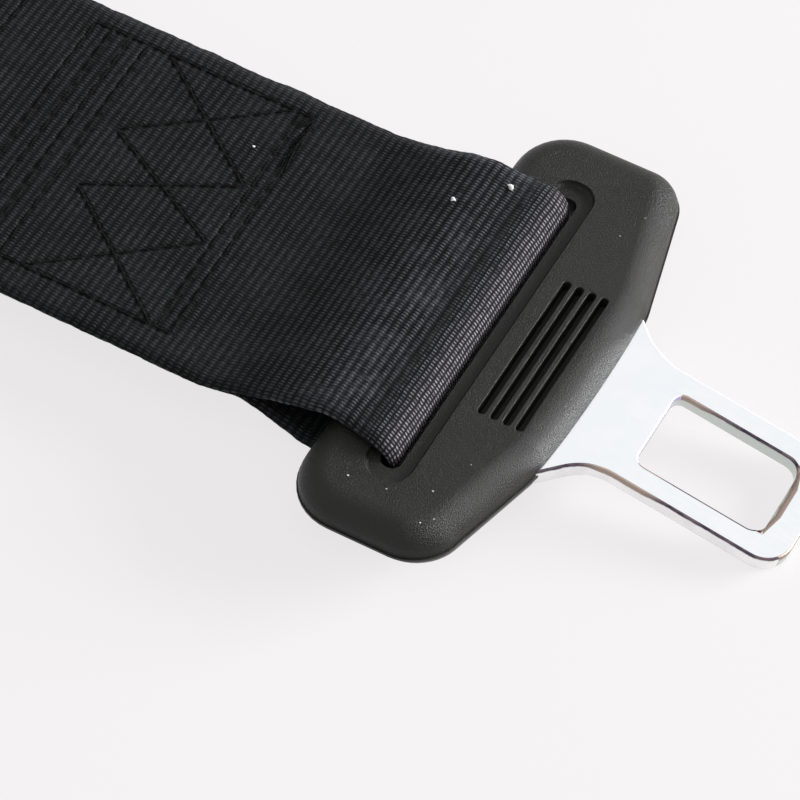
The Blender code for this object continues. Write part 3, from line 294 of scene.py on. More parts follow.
def group(name, inputs, outputs, build):
    """A shader node group; build gets its board and its input sockets, and gives back its outputs."""
    tree = bpy.data.node_groups.new(name, "ShaderNodeTree")
    for label, (kind, value) in inputs.items():
        socket = tree.interface.new_socket(name=label, in_out="INPUT", socket_type=kind)
        if value is not None:
            socket.default_value = value
    for label, kind in outputs.items():
        tree.interface.new_socket(name=label, in_out="OUTPUT", socket_type=kind)
    board = Board(tree)
    entry, leave = board.put("NodeGroupInput"), board.put("NodeGroupOutput")
    for label, socket in build(board, entry.outputs).items():
        tree.links.new(socket, leave.inputs[label])
    return tree


def use(board, tree, **inputs):
    made = board.tree.nodes.new("ShaderNodeGroup")
    made.node_tree = tree
    for label, value in inputs.items():
        label = label.replace("_", " ")
        if isinstance(value, bpy.types.NodeSocket):
            board.tree.links.new(value, made.inputs[label])
        else:
            made.inputs[label].default_value = value
    return made.outputs


def finish(name, colour, roughness, metallic=0.0, specular=0.5):
    """A material with one plain shader; gives back the material, its board and the shader."""
    made = bpy.data.materials.new(name)
    made.use_nodes = True
    board = Board(made.node_tree)
    shader = made.node_tree.nodes["Principled BSDF"]
    shader.inputs["Base Color"].default_value = (*colour, 1.0)
    shader.inputs["Roughness"].default_value = roughness
    shader.inputs["Metallic"].default_value = metallic
    shader.inputs["Specular IOR Level"].default_value = specular
    return made, board, shader


def wire(board, shader, **sockets):
    for label, socket in sockets.items():
        board.tree.links.new(socket, shader.inputs[label.replace("_", " ")])


FLOAT, VECTOR = "NodeSocketFloat", "NodeSocketVector"


def build_grain(board, given):
    """Spark-eroded mould texture: fine pits and a broad uneven sheen."""
    fine = board.noise(given["Place"], given["Grains per metre"], 3.0, 0.65)
    broad = board.noise(given["Place"], 90.0, 3.0, 0.6)
    return {"Height": fine, "Unevenness": broad}


def build_dust(board, given):
    """Sparse pale specks of dust, on surfaces that face up."""
    cells = board.put("ShaderNodeTexVoronoi", {"Vector": given["Place"], "Randomness": 1.0,
                                               "Scale": given["Specks per metre"]})
    size = board.math("MULTIPLY", board.split(cells.outputs["Color"])["X"], 0.11)
    chosen = board.math("GREATER_THAN", board.split(cells.outputs["Color"])["Y"], given["Rarity"])
    near = board.math("LESS_THAN", cells.outputs["Distance"], size)
    up = board.map(board.split(board.put("ShaderNodeNewGeometry").outputs["Normal"])["Z"], 0.2, 0.7)
    speck = board.math("MULTIPLY", board.math("MULTIPLY", near, chosen), up)
    return {"Speck": speck}


def build_brushing(board, given):
    """Fine drawn or ground lines along X, with cloudy patches."""
    lines = board.noise(board.stretch(given["Place"], (60.0, 2600.0, 2600.0)), 1.0, 3.0, 0.6)
    cloud = board.noise(given["Place"], 140.0, 3.0, 0.6)
    return {"Lines": lines, "Cloud": cloud}


grain = group("moulded grain", {"Place": (VECTOR, None), "Grains per metre": (FLOAT, 3600.0)},
              {"Height": FLOAT, "Unevenness": FLOAT}, build_grain)
dust = group("dust specks", {"Place": (VECTOR, None), "Specks per metre": (FLOAT, 260.0),
                             "Rarity": (FLOAT, 0.93)}, {"Speck": FLOAT}, build_dust)
brushing = group("drawn metal", {"Place": (VECTOR, None)}, {"Lines": FLOAT, "Cloud": FLOAT},
                 build_brushing)

DUST_COLOUR = (0.55, 0.53, 0.50, 1.0)


def moulded_plastic(name, dark, light, roughness, grain_height, specular=0.5, grains=3600.0,
                    rarity=0.93):
    """Moulded plastic: two close tones, fine grain and a few specks of dust."""
    made, board, shader = finish(name, dark, roughness, specular=specular)
    place = board.place()
    texture = use(board, grain, Place=place, Grains_per_metre=grains)
    speck = use(board, dust, Place=place, Rarity=rarity)["Speck"]
    tone = board.mix(board.map(texture["Unevenness"], 0.35, 0.65), (*dark, 1.0), (*light, 1.0))
    rough = board.map(texture["Unevenness"], 0.3, 0.7, roughness - 0.06, roughness + 0.06)
    wire(board, shader, Base_Color=board.mix(speck, tone, DUST_COLOUR), Roughness=rough,
         Normal=board.bump(texture["Height"], 0.8, grain_height))
    return made


def plain_metal(name, dark, light, roughness):
    """Zinc plated or drawn steel: streaks along it and cloudy patches."""
    made, board, shader = finish(name, dark, roughness, metallic=1.0)
    texture = use(board, brushing, Place=board.place())
    tone = board.mix(board.map(texture["Cloud"], 0.3, 0.7), (*dark, 1.0), (*light, 1.0))
    rough = board.map(texture["Lines"], 0.3, 0.7, roughness - 0.08, roughness + 0.1)
    wire(board, shader, Base_Color=tone, Roughness=rough,
         Normal=board.bump(texture["Lines"], 0.25, 0.00002))
    return made


def bright_plating():
    """Nickel-bright plating over a stamped blank: faint waves and hairlines."""
    made, board, shader = finish("plated_steel", (0.93, 0.94, 0.95), 0.14, metallic=1.0)
    place = board.place()
    wave = board.noise(place, 160.0, 2.0, 0.5)
    lines = use(board, brushing, Place=place)["Lines"]
    speck = use(board, dust, Place=place, Rarity=0.96)["Speck"]
    tone = board.mix(board.map(wave, 0.3, 0.7), (0.92, 0.96, 0.985, 1.0), (0.955, 0.975, 0.99, 1.0))
    height = board.math("ADD", wave, board.math("MULTIPLY", lines, 0.08))
    wire(board, shader, Base_Color=board.mix(speck, tone, (0.35, 0.33, 0.31, 1.0)),
         Roughness=board.map(lines, 0.3, 0.7, 0.10, 0.20), Normal=board.bump(height, 0.2, 0.00006))
    return made


WALL_BRIGHT = ((0.97, 0.965, 0.97, 1.0), (0.88, 0.88, 0.875, 1.0))
# Grey-green painted reflection of the shaded floor, for the walls inside the window
WINDOW_WALL_SHADED_REFLECTION = (0.60, 0.64, 0.61, 1.0)
WALL_TORN = (0.40, 0.38, 0.39, 1.0)
# Coined rim painted dark, as a painted reflection of a dark horizon
RIM_DARK_REFLECTION = ((0.045, 0.034, 0.055, 1.0), (0.13, 0.10, 0.115, 1.0))
RIM_BROWN = (0.34, 0.27, 0.23, 1.0)
RIM_PALE = (0.80, 0.79, 0.79, 1.0)
RIM_VIOLET = (0.56, 0.52, 0.74, 1.0)


def sheared_steel():
    """The tongue's punched walls: a coined rim painted dark as a painted reflection of a dark horizon,
    brown at the neck and the window's tip, violet at the window's rear and pale on the far side, bright
    steel below it with a grey-green painted reflection of the shaded floor inside the window, torn at
    the foot."""
    made, board, shader = finish("sheared_edges", (0.8, 0.79, 0.79), 0.3, metallic=1.0)
    place = board.place()
    x, y, z = [board.split(place)[axis] for axis in "XYZ"]
    past = board.math("MAXIMUM", board.math("SUBTRACT", x, FOLD_X + BLADE_START), 0.0)
    plane = board.math("SUBTRACT", PLATE_TOP_Z, board.math("MULTIPLY", past, math.tan(BLADE_DROP)))
    depth = board.math("SUBTRACT", plane, z)
    uneven = board.math("MULTIPLY", board.math("SUBTRACT", board.noise(place, 700.0, 2.0), 0.5), 0.0004)
    depth = board.math("ADD", depth, uneven)
    cloud = board.noise(place, 300.0, 3.0, 0.6)
    inside = board.math("LESS_THAN", board.math("ABSOLUTE", y), WINDOW_WALLS_Y)
    bright = board.mix(board.map(cloud, 0.3, 0.7), *WALL_BRIGHT)
    # Walls inside the window take a grey-green painted reflection of the shaded floor
    bright = board.mix(inside, bright, WINDOW_WALL_SHADED_REFLECTION)
    # The coined rim is painted dark, a painted reflection of a dark horizon
    rim = board.mix(board.map(cloud, 0.35, 0.6), *RIM_DARK_REFLECTION)
    starts, full, fades, ends = [FOLD_X + at for at in NECK_TINT]
    neck = board.math("MULTIPLY", board.map(x, starts, full), board.map(x, fades, ends, 1.0, 0.0))
    window_rear, window_tip = FOLD_X + WINDOW[0], FOLD_X + WINDOW[1]
    tip = board.map(x, window_tip - TIP_TINT[0], window_tip - TIP_TINT[1])
    tip = board.math("MULTIPLY", tip, inside)
    brown = board.math("MAXIMUM", neck, tip)
    rim = board.mix(brown, rim, RIM_BROWN)
    rim = board.mix(board.math("GREATER_THAN", y, FAR_WALL_Y), rim, RIM_PALE)
    rear = board.math("MULTIPLY", board.math("LESS_THAN", x, window_rear + REAR_TINT), inside)
    rim = board.mix(rear, rim, RIM_VIOLET)
    edge = board.math("ADD", RIM_DEPTH, board.math("MULTIPLY", brown, BROWN_DEPTH))
    tone = board.mix(board.map(board.math("SUBTRACT", depth, edge), 0.0, 0.0003, 1.0, 0.0), bright, rim)
    tone = board.mix(board.map(depth, *TORN_DEPTH, 0.0, 0.6), tone, WALL_TORN)
    wire(board, shader, Base_Color=tone, Roughness=board.map(depth, 0.0005, 0.0012, 0.42, 0.22),
         Normal=board.bump(cloud, 0.2, 0.00003))
    return made


def seam_press_and_shade(board, place):
    """The lines that the seams press into the webbing, and their needle holes, as one mask; the webbing
    sinks it in its bump and darkens it as painted shade.
    """
    x, y = board.split(place)["X"], board.split(place)["Y"]
    u = board.math("MINIMUM", board.math("SUBTRACT", FOLD_X, x),
                   board.math("SUBTRACT", x, BUCKLE_FOLD_X))
    stray = board.math("MULTIPLY", board.math("SUBTRACT", board.noise(place, 700.0, 1.0), 0.5), 0.0007)
    u = board.math("ADD", board.math("SUBTRACT", u, board.math("MULTIPLY", y, SEAM_SKEW)), stray)

    def apart(value, target):
        return board.math("ABSOLUTE", board.math("SUBTRACT", value, target))

    def nearest(values):
        result = values[0]
        for value in values[1:]:
            result = board.math("MINIMUM", result, value)
        return result

    def only_within(value, low, high, distance):
        past = board.math("GREATER_THAN", apart(value, (low + high) / 2), (high - low) / 2)
        return board.math("ADD", distance, past)

    low_y, high_y = SEAM_CORNERS[0], SEAM_CORNERS[-1]
    rows = nearest([apart(u, row) for row in SEAM_LEAD_ROWS + SEAM_TAIL_ROWS])
    rows = only_within(y, low_y, high_y, rows)
    start, end = SEAM_ZIGZAG
    share = board.math("DIVIDE", board.math("SUBTRACT", u, start), end - start)
    lines = []
    for low, high in zip(SEAM_CORNERS, SEAM_CORNERS[1:]):
        cell = board.math("DIVIDE", board.math("SUBTRACT", y, low), high - low)
        across = (high - low) * (end - start) / math.hypot(high - low, end - start)
        line = nearest([apart(cell, share), apart(cell, board.math("SUBTRACT", 1.0, share))])
        lines.append(only_within(cell, 0.0, 1.0, board.math("MULTIPLY", line, across)))
    crosses = only_within(share, 0.0, 1.0, nearest(lines))
    beside = nearest([apart(y, low_y), apart(y, high_y)])
    beside = only_within(u, SEAM_LEAD_ROWS[0], SEAM_TAIL_ROWS[-1], beside)

    step = board.math("PINGPONG", board.math("ADD", y, 0.1), STITCH_LENGTH / 2)
    hole = board.math("SQRT", board.math("ADD", board.math("MULTIPLY", rows, rows),
                                         board.math("MULTIPLY", step, step)))
    holes = board.map(hole, 0.00032, 0.00078, 1.0, 0.0)
    dashes = board.map(board.noise(place, 900.0, 1.0), 0.34, 0.56, 0.6, 1.0)
    line = board.map(nearest([crosses, beside]), 0.00026, 0.00064, 1.0, 0.0)
    line = board.math("MULTIPLY", line, dashes)
    row = board.map(rows, 0.00015, 0.00070, 0.45, 0.0)
    return board.math("MAXIMUM", board.math("MAXIMUM", line, holes), row)


WEB_BLUE_BLACK = (0.0200, 0.0210, 0.0240, 1.0)
WEB_GREEN_BLACK = (0.0175, 0.0232, 0.0228, 1.0)
# Painted sheen on the hump's crest
WEB_CREST_SHEEN = (0.066, 0.070, 0.078, 1.0)
# Painted highlight on the yarns where they bend over the slot
WEB_FOLD_HIGHLIGHT = (0.165, 0.153, 0.175, 1.0)
# Painted shade in the dip before the fold
WEB_DIP_SHADE = (0.010, 0.010, 0.012, 1.0)
# Painted shade in the gaps between the yarns and ribs
WEB_SHADE_BETWEEN_YARNS = (0.0008, 0.0009, 0.001, 1.0)
# Painted shade in the seams' pressed lines and needle holes
WEB_PRESSED_SHADE = (0.0010, 0.0010, 0.0010, 1.0)


def ribbed_webbing():
    """Black polyester webbing: crosswise ribs of slanted yarns, with a painted highlight where they bend
    over the head's slot, a painted sheen on the hump's crest, and painted shade in the dip before the
    fold, between them and along the seams."""
    made, board, shader = finish("black_webbing", (0.02, 0.022, 0.023), 0.5, specular=0.12)
    shader.inputs["Sheen Weight"].default_value = 0.025
    shader.inputs["Sheen Roughness"].default_value = 0.4
    shader.inputs["Sheen Tint"].default_value = (0.75, 0.74, 0.82, 1.0)
    place = board.place()
    lay = board.split(board.put("ShaderNodeAttribute", attribute_name="lay").outputs["Vector"])
    wobble = board.math("MULTIPLY", board.math("SUBTRACT", board.noise(place, 350.0, 2.0), 0.5), 0.0003)
    along = board.math("ADD", lay["X"], wobble)
    height, x = board.split(place)["Z"], board.split(place)["X"]
    above = board.map(height, *UPPER_LAYER_Z)

    def nearing(places):
        return board.map(x, FOLD_X - places[0], FOLD_X - places[1])

    bend = board.math("MULTIPLY", nearing(TIGHT_RIBS_FROM), above)
    wide = board.math("COSINE", board.math("MULTIPLY", along, 2 * math.pi / RIB_PITCH))
    tight = board.math("COSINE", board.math("MULTIPLY", along, 2 * math.pi / FOLD_RIB_PITCH))
    rib = board.math("ADD", board.math("MULTIPLY", tight, bend),
                     board.math("MULTIPLY", wide, board.math("SUBTRACT", 1.0, bend)))
    slanted = board.math("ADD", lay["Y"], board.math("MULTIPLY", lay["X"], YARN_SLANT))
    slanted = board.math("ADD", slanted, board.math("MULTIPLY", wobble, 0.6))
    yarn = board.math("COSINE", board.math("MULTIPLY", slanted, 2 * math.pi / YARN_PITCH))
    # Painted shade in the dip before the fold
    from_dip = board.math("ABSOLUTE", board.math("SUBTRACT", x, FOLD_X - DIP_SHADE_AT))
    dip = board.math("MULTIPLY", board.map(from_dip, 0.0003, 0.0014, 1.0, 0.0), above)
    uneven = board.noise(place, 1500.0, 2.0, 0.6)
    plain = board.math("SUBTRACT", 1.0, bend)
    patch = board.math("MULTIPLY", board.map(board.noise(place, 200.0, 3.0, 0.6), 0.35, 0.65), plain)
    rib_dark = board.map(patch, 0.0, 1.0, 0.08, 0.32, smooth=False)
    rib_light = board.map(rib, -0.95, 0.6, rib_dark, 1.0)
    yarn_dark = board.map(patch, 0.0, 1.0, 0.05, 0.38, smooth=False)
    yarn_light = board.map(yarn, -0.6, 0.7, yarn_dark, 1.0)
    weave = board.math("MULTIPLY", board.math("MULTIPLY", rib_light, yarn_light),
                       board.map(uneven, 0.25, 0.7, 0.35, 1.45))
    press = seam_press_and_shade(board, place)
    broad = board.noise(place, 60.0, 3.0, 0.6)
    # Painted sheen on the hump's crest
    crest = board.math("MULTIPLY", nearing(CREST_SHEEN_FROM), above)
    lit = board.mix(board.map(broad, 0.35, 0.68), WEB_BLUE_BLACK, WEB_GREEN_BLACK)
    lit = board.mix(crest, lit, WEB_CREST_SHEEN)
    # Painted highlight where the yarns bend over the slot
    fold_highlight = board.math("MULTIPLY", nearing(FOLD_HIGHLIGHT_FROM), above)
    lit = board.mix(fold_highlight, lit, WEB_FOLD_HIGHLIGHT)
    lit = board.mix(board.math("MULTIPLY", dip, 0.6), lit, WEB_DIP_SHADE)
    # Painted shade between the yarns and ribs
    tone = board.mix(weave, WEB_SHADE_BETWEEN_YARNS, lit)
    # Painted shade in the seams' pressed lines and needle holes
    tone = board.mix(board.math("MULTIPLY", press, 0.95), tone, WEB_PRESSED_SHADE)
    height = board.math("SUBTRACT", weave, board.math("MULTIPLY", press, 2.0))
    wire(board, shader, Base_Color=tone, Roughness=board.map(weave, 0.0, 1.0, 0.85, 0.45),
         Normal=board.bump(height, 0.8, 0.00012))
    return made


def sewing_thread():
    """Bonded black thread with its twist."""
    made, board, shader = finish("black_thread", (0.004, 0.004, 0.004), 0.85, specular=0.04)
    place = board.place()
    twist = board.noise(place, 3200.0, 2.0)
    tone = board.mix(board.map(twist, 0.3, 0.7), (0.0015, 0.0015, 0.0015, 1.0),
                     (0.008, 0.0085, 0.0085, 1.0))
    wire(board, shader, Base_Color=tone, Normal=board.bump(twist, 0.7, 0.00008))
    return made


def lint_fibre():
    made, board, shader = finish("lint", (0.62, 0.62, 0.60), 0.9)
    fuzz = board.noise(board.place(), 9000.0, 2.0)
    wire(board, shader, Base_Color=board.mix(fuzz, (0.42, 0.42, 0.41, 1.0), (0.80, 0.80, 0.78, 1.0)))
    return made


steel = bright_plating()
edge_steel = sheared_steel()
head_plastic = moulded_plastic("head_plastic", (0.0042, 0.0042, 0.0032), (0.0062, 0.0061, 0.0049), 0.35,
                               0.00020, specular=0.265, grains=5200.0, rarity=0.97)
case_plastic = moulded_plastic("casing_plastic", (0.0105, 0.0105, 0.010), (0.014, 0.014, 0.013), 0.46,
                               0.00008, specular=0.4)
red_plastic = moulded_plastic("red_plastic", (0.50, 0.018, 0.014), (0.58, 0.026, 0.02), 0.34, 0.00002,
                              grains=2400.0)
white_plastic = moulded_plastic("natural_plastic", (0.70, 0.68, 0.62), (0.76, 0.74, 0.69), 0.42, 0.00002)
zinc_steel = plain_metal("zinc_steel", (0.50, 0.51, 0.54), (0.64, 0.65, 0.67), 0.34)
spring_steel = plain_metal("spring_wire", (0.38, 0.38, 0.40), (0.52, 0.52, 0.53), 0.3)
web_cloth = ribbed_webbing()
thread = sewing_thread()
lint = lint_fibre()


# Mesh work

def add_piece(name, bm, materials, body, stands_for, sharp_deg):
    """A finished body becomes an object that rides on a body of the frame."""
    mesh = bpy.data.meshes.new(name)
    bm.to_mesh(mesh)
    bm.free()
    for material in materials:
        mesh.materials.append(material)
    mesh.shade_smooth()
    mesh.set_sharp_from_angle(angle=math.radians(sharp_deg))
    made = bpy.data.objects.new(name, mesh)
    bpy.context.scene.collection.objects.link(made)
    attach(made, body)
    if stands_for:
        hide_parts(*stands_for)
    return made


def shade_broad_faces_flat(made):
    """Shades broad flat faces as flat and only the roundings between them as round."""
    step = made.modifiers.new("broad_faces", "WEIGHTED_NORMAL")
    step.keep_sharp = True
    step.weight = 90


def outline(bm, corners, z, steps=ROUND_STEPS):
    """A flat face at a height through (x, y, rounding) corners, rounded by bevelling each corner."""
    verts = [bm.verts.new((x, y, z)) for x, y, _ in corners]
    face = bm.faces.new(verts)
    face.normal_update()
    if face.normal.z < 0:
        face.normal_flip()
    for vert, (_, _, rounding) in zip(verts, corners):
        if rounding:
            bmesh.ops.bevel(bm, geom=[vert], offset=rounding, offset_type="OFFSET", affect="VERTICES",
                            segments=steps, profile=0.5, material=-1)
    bm.faces.ensure_lookup_table()
    return bm.faces[:]


def both_sides(half):
    """Corners of a whole outline from those of its +Y half, run from the rear to the front."""
    return [(x, -y, r) for x, y, r in half if y > 0] + half[::-1]


def raise_faces(bm, faces, height):
    """Pulls faces up by a height and gives back the new ones; a lone face leaves its base behind."""
    edges = list({e for f in faces for e in f.edges})
    made = bmesh.ops.extrude_face_region(bm, geom=faces + edges)["geom"]
    verts = [g for g in made if isinstance(g, bmesh.types.BMVert)]
    bmesh.ops.translate(bm, verts=verts, vec=(0, 0, height))
    return [g for g in made if isinstance(g, bmesh.types.BMFace)]


def level_edges(bm, z):
    """The edges that lie at a height."""
    return [e for e in bm.edges if all(abs(v.co.z - z) < SAME_PLACE for v in e.verts)]


def rounded_edges(bm, edges, radius, steps):
    bmesh.ops.bevel(bm, geom=edges, offset=radius, offset_type="OFFSET", affect="EDGES", segments=steps,
                    profile=0.5, material=-1)


def carved(bm, tool_bm):
    """The body after another is cut from it."""
    pair = []
    for part in (bm, tool_bm):
        bmesh.ops.recalc_face_normals(part, faces=part.faces)
        mesh = bpy.data.meshes.new("work")
        part.to_mesh(mesh)
        part.free()
        item = bpy.data.objects.new("work", mesh)
        bpy.context.scene.collection.objects.link(item)
        pair.append(item)
    step = pair[0].modifiers.new("carve", "BOOLEAN")
    step.operation = "DIFFERENCE"
    step.solver = "EXACT"
    step.object = pair[1]
    result = bmesh.new()
    result.from_object(pair[0], bpy.context.evaluated_depsgraph_get())
    for item in pair:
        mesh = item.data
        bpy.data.objects.remove(item)
        bpy.data.meshes.remove(mesh)
    bmesh.ops.remove_doubles(result, verts=result.verts, dist=MERGE_DISTANCE)
    return result


def stadium(bm, bounds, levels, steps=ROUND_STEPS):
    """A long hollow with round ends, as a body through (inset, height) levels from the top down."""
    x0, x1, half_length = bounds
    rounding = (x1 - x0) * END_ROUNDING
    middle, half_width = FOLD_X + (x0 + x1) / 2, (x1 - x0) / 2
    x0, x1 = FOLD_X + x0, FOLD_X + x1
    faces = outline(bm, [(x0, -half_length, rounding), (x1, -half_length, rounding),
                         (x1, half_length, rounding), (x0, half_length, rounding)], levels[0][1], steps)
    before = levels[0]
    for inset, z in levels[1:]:
        faces = raise_faces(bm, faces, z - before[1])
        for vert in {v for f in faces for v in f.verts}:
            vert.co.x = middle + (vert.co.x - middle) * (half_width - inset) / (half_width - before[0])
            vert.co.y *= (half_length - inset) / (half_length - before[0])
        before = (inset, z)


# The webbing and its seams

def arc(centre, radius, start_deg, end_deg):
    points = []
    for i in range(ARC_STEPS + 1):
        angle = math.radians(start_deg + (end_deg - start_deg) * i / ARC_STEPS)
        points.append(Vector((centre[0] + radius * math.cos(angle),
                              centre[1] + radius * math.sin(angle))))
    return points


def eased(x0, z0, x1, z1):
    """A smooth S from one height to another."""
    return [Vector((x0 + (x1 - x0) * i / EASE_STEPS,
                    z0 + (z1 - z0) * (1 - math.cos(math.pi * i / EASE_STEPS)) / 2))
            for i in range(EASE_STEPS + 1)]


def loop_line(low_leg_z, high_leg_z, radius, hump):
    """The webbing's middle line round a bar, from the lower layer to the upper, its fold at x = 0."""
    offset = (WEB_THICKNESS + LAYER_GAP) / 2
    low_z, high_z = STRAP_MID_Z - offset, STRAP_MID_Z + offset
    centre_x = -WEB_THICKNESS / 2 - radius
    far = -hump - LOOP_RUN
    return ([Vector((-TAIL_LENGTH, low_z))] + eased(far, low_z, -hump, low_leg_z)
            + arc((centre_x, low_leg_z + radius), radius, -90, 0)
            + arc((centre_x, high_leg_z - radius), radius, 0, 90)
            + eased(-hump, high_leg_z, far, high_z))


def webbing_line():
    """The whole middle line in the frame, from one sewn tail round both loops to the other."""
    clear = LOOP_GAP + WEB_THICKNESS / 2
    head = loop_line(HEAD_BOTTOM_Z - clear, HEAD_TOP_Z + clear, HEAD_FOLD_RADIUS, HEAD_HUMP)
    bar = loop_line(STRAP_MID_Z - FRAME_LOOP_REACH, STRAP_MID_Z + FRAME_LOOP_REACH,
                    FRAME_FOLD_RADIUS, FRAME_HUMP)
    points = [Vector((FOLD_X + p.x, p.y)) for p in head]
    points += [Vector((BUCKLE_FOLD_X - p.x, p.y)) for p in reversed(bar)]
    line = [points[0]]
    for point in points[1:]:
        if (point - line[-1]).length > SAME_PLACE:
            line.append(point)
    return line


class Route:
    """The webbing's middle line by distance along it."""

    def __init__(self, points):
        self.points = points
        self.reached = [0.0]
        for before, after in zip(points, points[1:]):
            self.reached.append(self.reached[-1] + (after - before).length)
        self.length = self.reached[-1]
        self.piece = 0

    def at(self, distance):
        """The place and the outward side at a distance; called with rising distances."""
        while self.piece < len(self.points) - 2 and self.reached[self.piece + 1] < distance:
            self.piece += 1
        i = self.piece
        span = self.reached[i + 1] - self.reached[i]
        share = min(max((distance - self.reached[i]) / span, 0.0), 1.0)
        here = self.points[i].lerp(self.points[i + 1], share)
        before = self.points[max(i - 1, 0)]
        after = self.points[min(i + 2, len(self.points) - 1)]
        run = (self.points[i + 1] - self.points[i]).normalized()
        run = ((self.points[i] - before).normalized() * (1 - share) + run
               + (after - self.points[i + 1]).normalized() * share).normalized()
        return here, Vector((run.y, -run.x))


def edge_place(share):
    """A column's place across from -1 to 1, closer together near both selvedges."""
    return math.sin(share * math.pi / 2) * EDGE_CROWDING + share * (1 - EDGE_CROWDING)


def ramp(value, low, high):
    share = min(max((value - low) / (high - low), 0.0), 1.0)
    return share * share * (3 - 2 * share)


def selvedges(place, distance):
    """Where both selvedges lie: pinched in over the hump, the lower layer a little to one side."""
    u = min(FOLD_X - place.x, place.x - BUCKLE_FOLD_X)
    shift = LOWER_LAYER_SHIFT * ramp(u, *LOWER_SHIFT_STARTS) if place.y < STRAP_MID_Z else 0.0
    pinch = ramp(u, *PINCH_STARTS) * (1 - ramp(u, *PINCH_ENDS))
    near = NEAR_EDGE + HUMP_PINCH * pinch
    far = FAR_EDGE - 0.5 * HUMP_PINCH * (1 - ramp(u, *FAR_PINCH_ENDS))
    edges = []
    for edge, seed in ((near, 3.0), (far, 8.0)):
        wave = sum(noise.noise((distance * rate, seed, layer)) * height
                   for rate, layer, height in EDGE_WAVES)
        edges.append(edge + wave + shift)
    return edges


def make_webbing():
    """A flat ribbed strip, laid along its route round both bars, with its own length and breadth
    kept in the attribute lay."""
    route = Route(webbing_line())
    rows = int(route.length / RIB_PITCH * ROWS_PER_RIB)
    bm = bmesh.new()
    bmesh.ops.create_grid(bm, x_segments=rows, y_segments=WEB_COLUMNS, size=1.0)
    raise_faces(bm, bm.faces[:], 1.0)
    lay = bm.verts.layers.float_vector.new("lay")
    frames = [route.at(route.length * i / rows) for i in range(rows + 1)]
    edges = [selvedges(place, route.length * i / rows) for i, (place, _) in enumerate(frames)]
    for vert in bm.verts:
        row = round((vert.co.x + 1) / 2 * rows)
        distance = route.length * row / rows
        share = edge_place(vert.co.y)
        side = 1 if vert.co.z > 0.5 else -1
        vert[lay] = (distance, share * WEB_WIDTH / 2, 0.0)
        valley = (1 - math.cos(2 * math.pi * distance / RIB_PITCH)) / 2
        place, out = frames[row]
        near, far = edges[row]
        y = (near + far) / 2 + share * (far - near) / 2
        from_edge = (1 - abs(share)) * WEB_WIDTH / 2
        rounding = math.sqrt(max(1 - max(1 - from_edge / SELVEDGE, 0.0) ** 2, SELVEDGE_FLOOR))
        depth = RIB_DEPTH * (SHALLOW_RIB_SHARE if place.x > FOLD_X - SHALLOW_RIBS_FROM else 1.0)
        reach = (WEB_THICKNESS / 2 - depth * valley) * rounding
        vert.co = (place.x + out.x * reach * side, y, place.y + out.y * reach * side)
    bmesh.ops.recalc_face_normals(bm, faces=bm.faces)
    made = add_piece("ribbed_webbing", bm, [web_cloth], STRAP_BODY, ["webbing"], 180)


def stitch(bm, start, end, z):
    """One stitch: a bulging bit of thread that dips into the webbing at both ends."""
    run = end - start
    turn = Matrix.Rotation(math.atan2(run.y, run.x), 4, "Z") @ Matrix.Rotation(math.pi / 2, 4, "Y")
    size = Matrix.Diagonal((THREAD_HEIGHT, THREAD_WIDTH / 2, run.length / 2 + THREAD_WIDTH * 0.2, 1.0))
    middle = (start + end) / 2
    bmesh.ops.create_uvsphere(bm, u_segments=6, v_segments=6, radius=1.0,
                              matrix=Matrix.Translation((middle.x, middle.y, z)) @ turn @ size)


def sewn_line(bm, start, end, z):
    """A row of stitches between two places, each a little out of line as sewn ones are."""
    start, end = Vector(start), Vector(end)
    count = max(round((end - start).length / STITCH_LENGTH), 1)
    side = Vector((-(end - start).y, (end - start).x)).normalized()
    points = []
    for i in range(count + 1):
        point = start.lerp(end, i / count)
        point += side * noise.noise((point.x * 900, point.y * 900, z * 500)) * STITCH_STRAY
        points.append(point)
    for before, after in zip(points, points[1:]):
        stitch(bm, before.lerp(after, STITCH_GAP), before.lerp(after, 1 - STITCH_GAP), z)


def make_seam(name, fold_x, direction, stands_for):
    """Rows across, crosses and rows along both edges, on the top and again underneath, with the
    tangle of back stitches where the sewing starts."""
    bm = bmesh.new()
    low_y, high_y = SEAM_CORNERS[0], SEAM_CORNERS[-1]
    near, far = SEAM_ZIGZAG
    offset = LAYER_GAP / 2 + WEB_THICKNESS - THREAD_SINK

    def spot(u, y):
        return fold_x + direction * (u + SEAM_SKEW * y), y

    for z in (STRAP_MID_Z + offset, STRAP_MID_Z - offset):
        runs = [(u, low_y, u, high_y) for u in SEAM_LEAD_ROWS + SEAM_TAIL_ROWS]
        for low, high in zip(SEAM_CORNERS, SEAM_CORNERS[1:]):
            runs += [(near, low, far, high), (far, low, near, high)]
        runs += [(SEAM_LEAD_ROWS[0], y, SEAM_TAIL_ROWS[-1], y) for y in (low_y, high_y)]
        for u0, y0, u1, y1 in runs:
            sewn_line(bm, spot(u0, y0), spot(u1, y1), z)
    top_z = STRAP_MID_Z + offset
    for i in range(LOOSE_STITCHES):
        spread = Vector((noise.noise((i * 3.7, 1.3, 0.0)), noise.noise((i * 5.1, 7.9, 2.0))))
        middle = Vector(spot(SEAM_LEAD_ROWS[0] + LOOSE_PLACE[0] + spread.x * LOOSE_SPREAD[0],
                             high_y - LOOSE_PLACE[1] + spread.y * LOOSE_SPREAD[1]))
        lean = Vector((spread.y * LOOSE_LEAN[0], LOOSE_LEAN[1]))
        stitch(bm, middle - lean, middle + lean, top_z + LOOSE_LIFT * (i % 3))
    add_piece(name, bm, [thread], STRAP_BODY, [stands_for], 180)


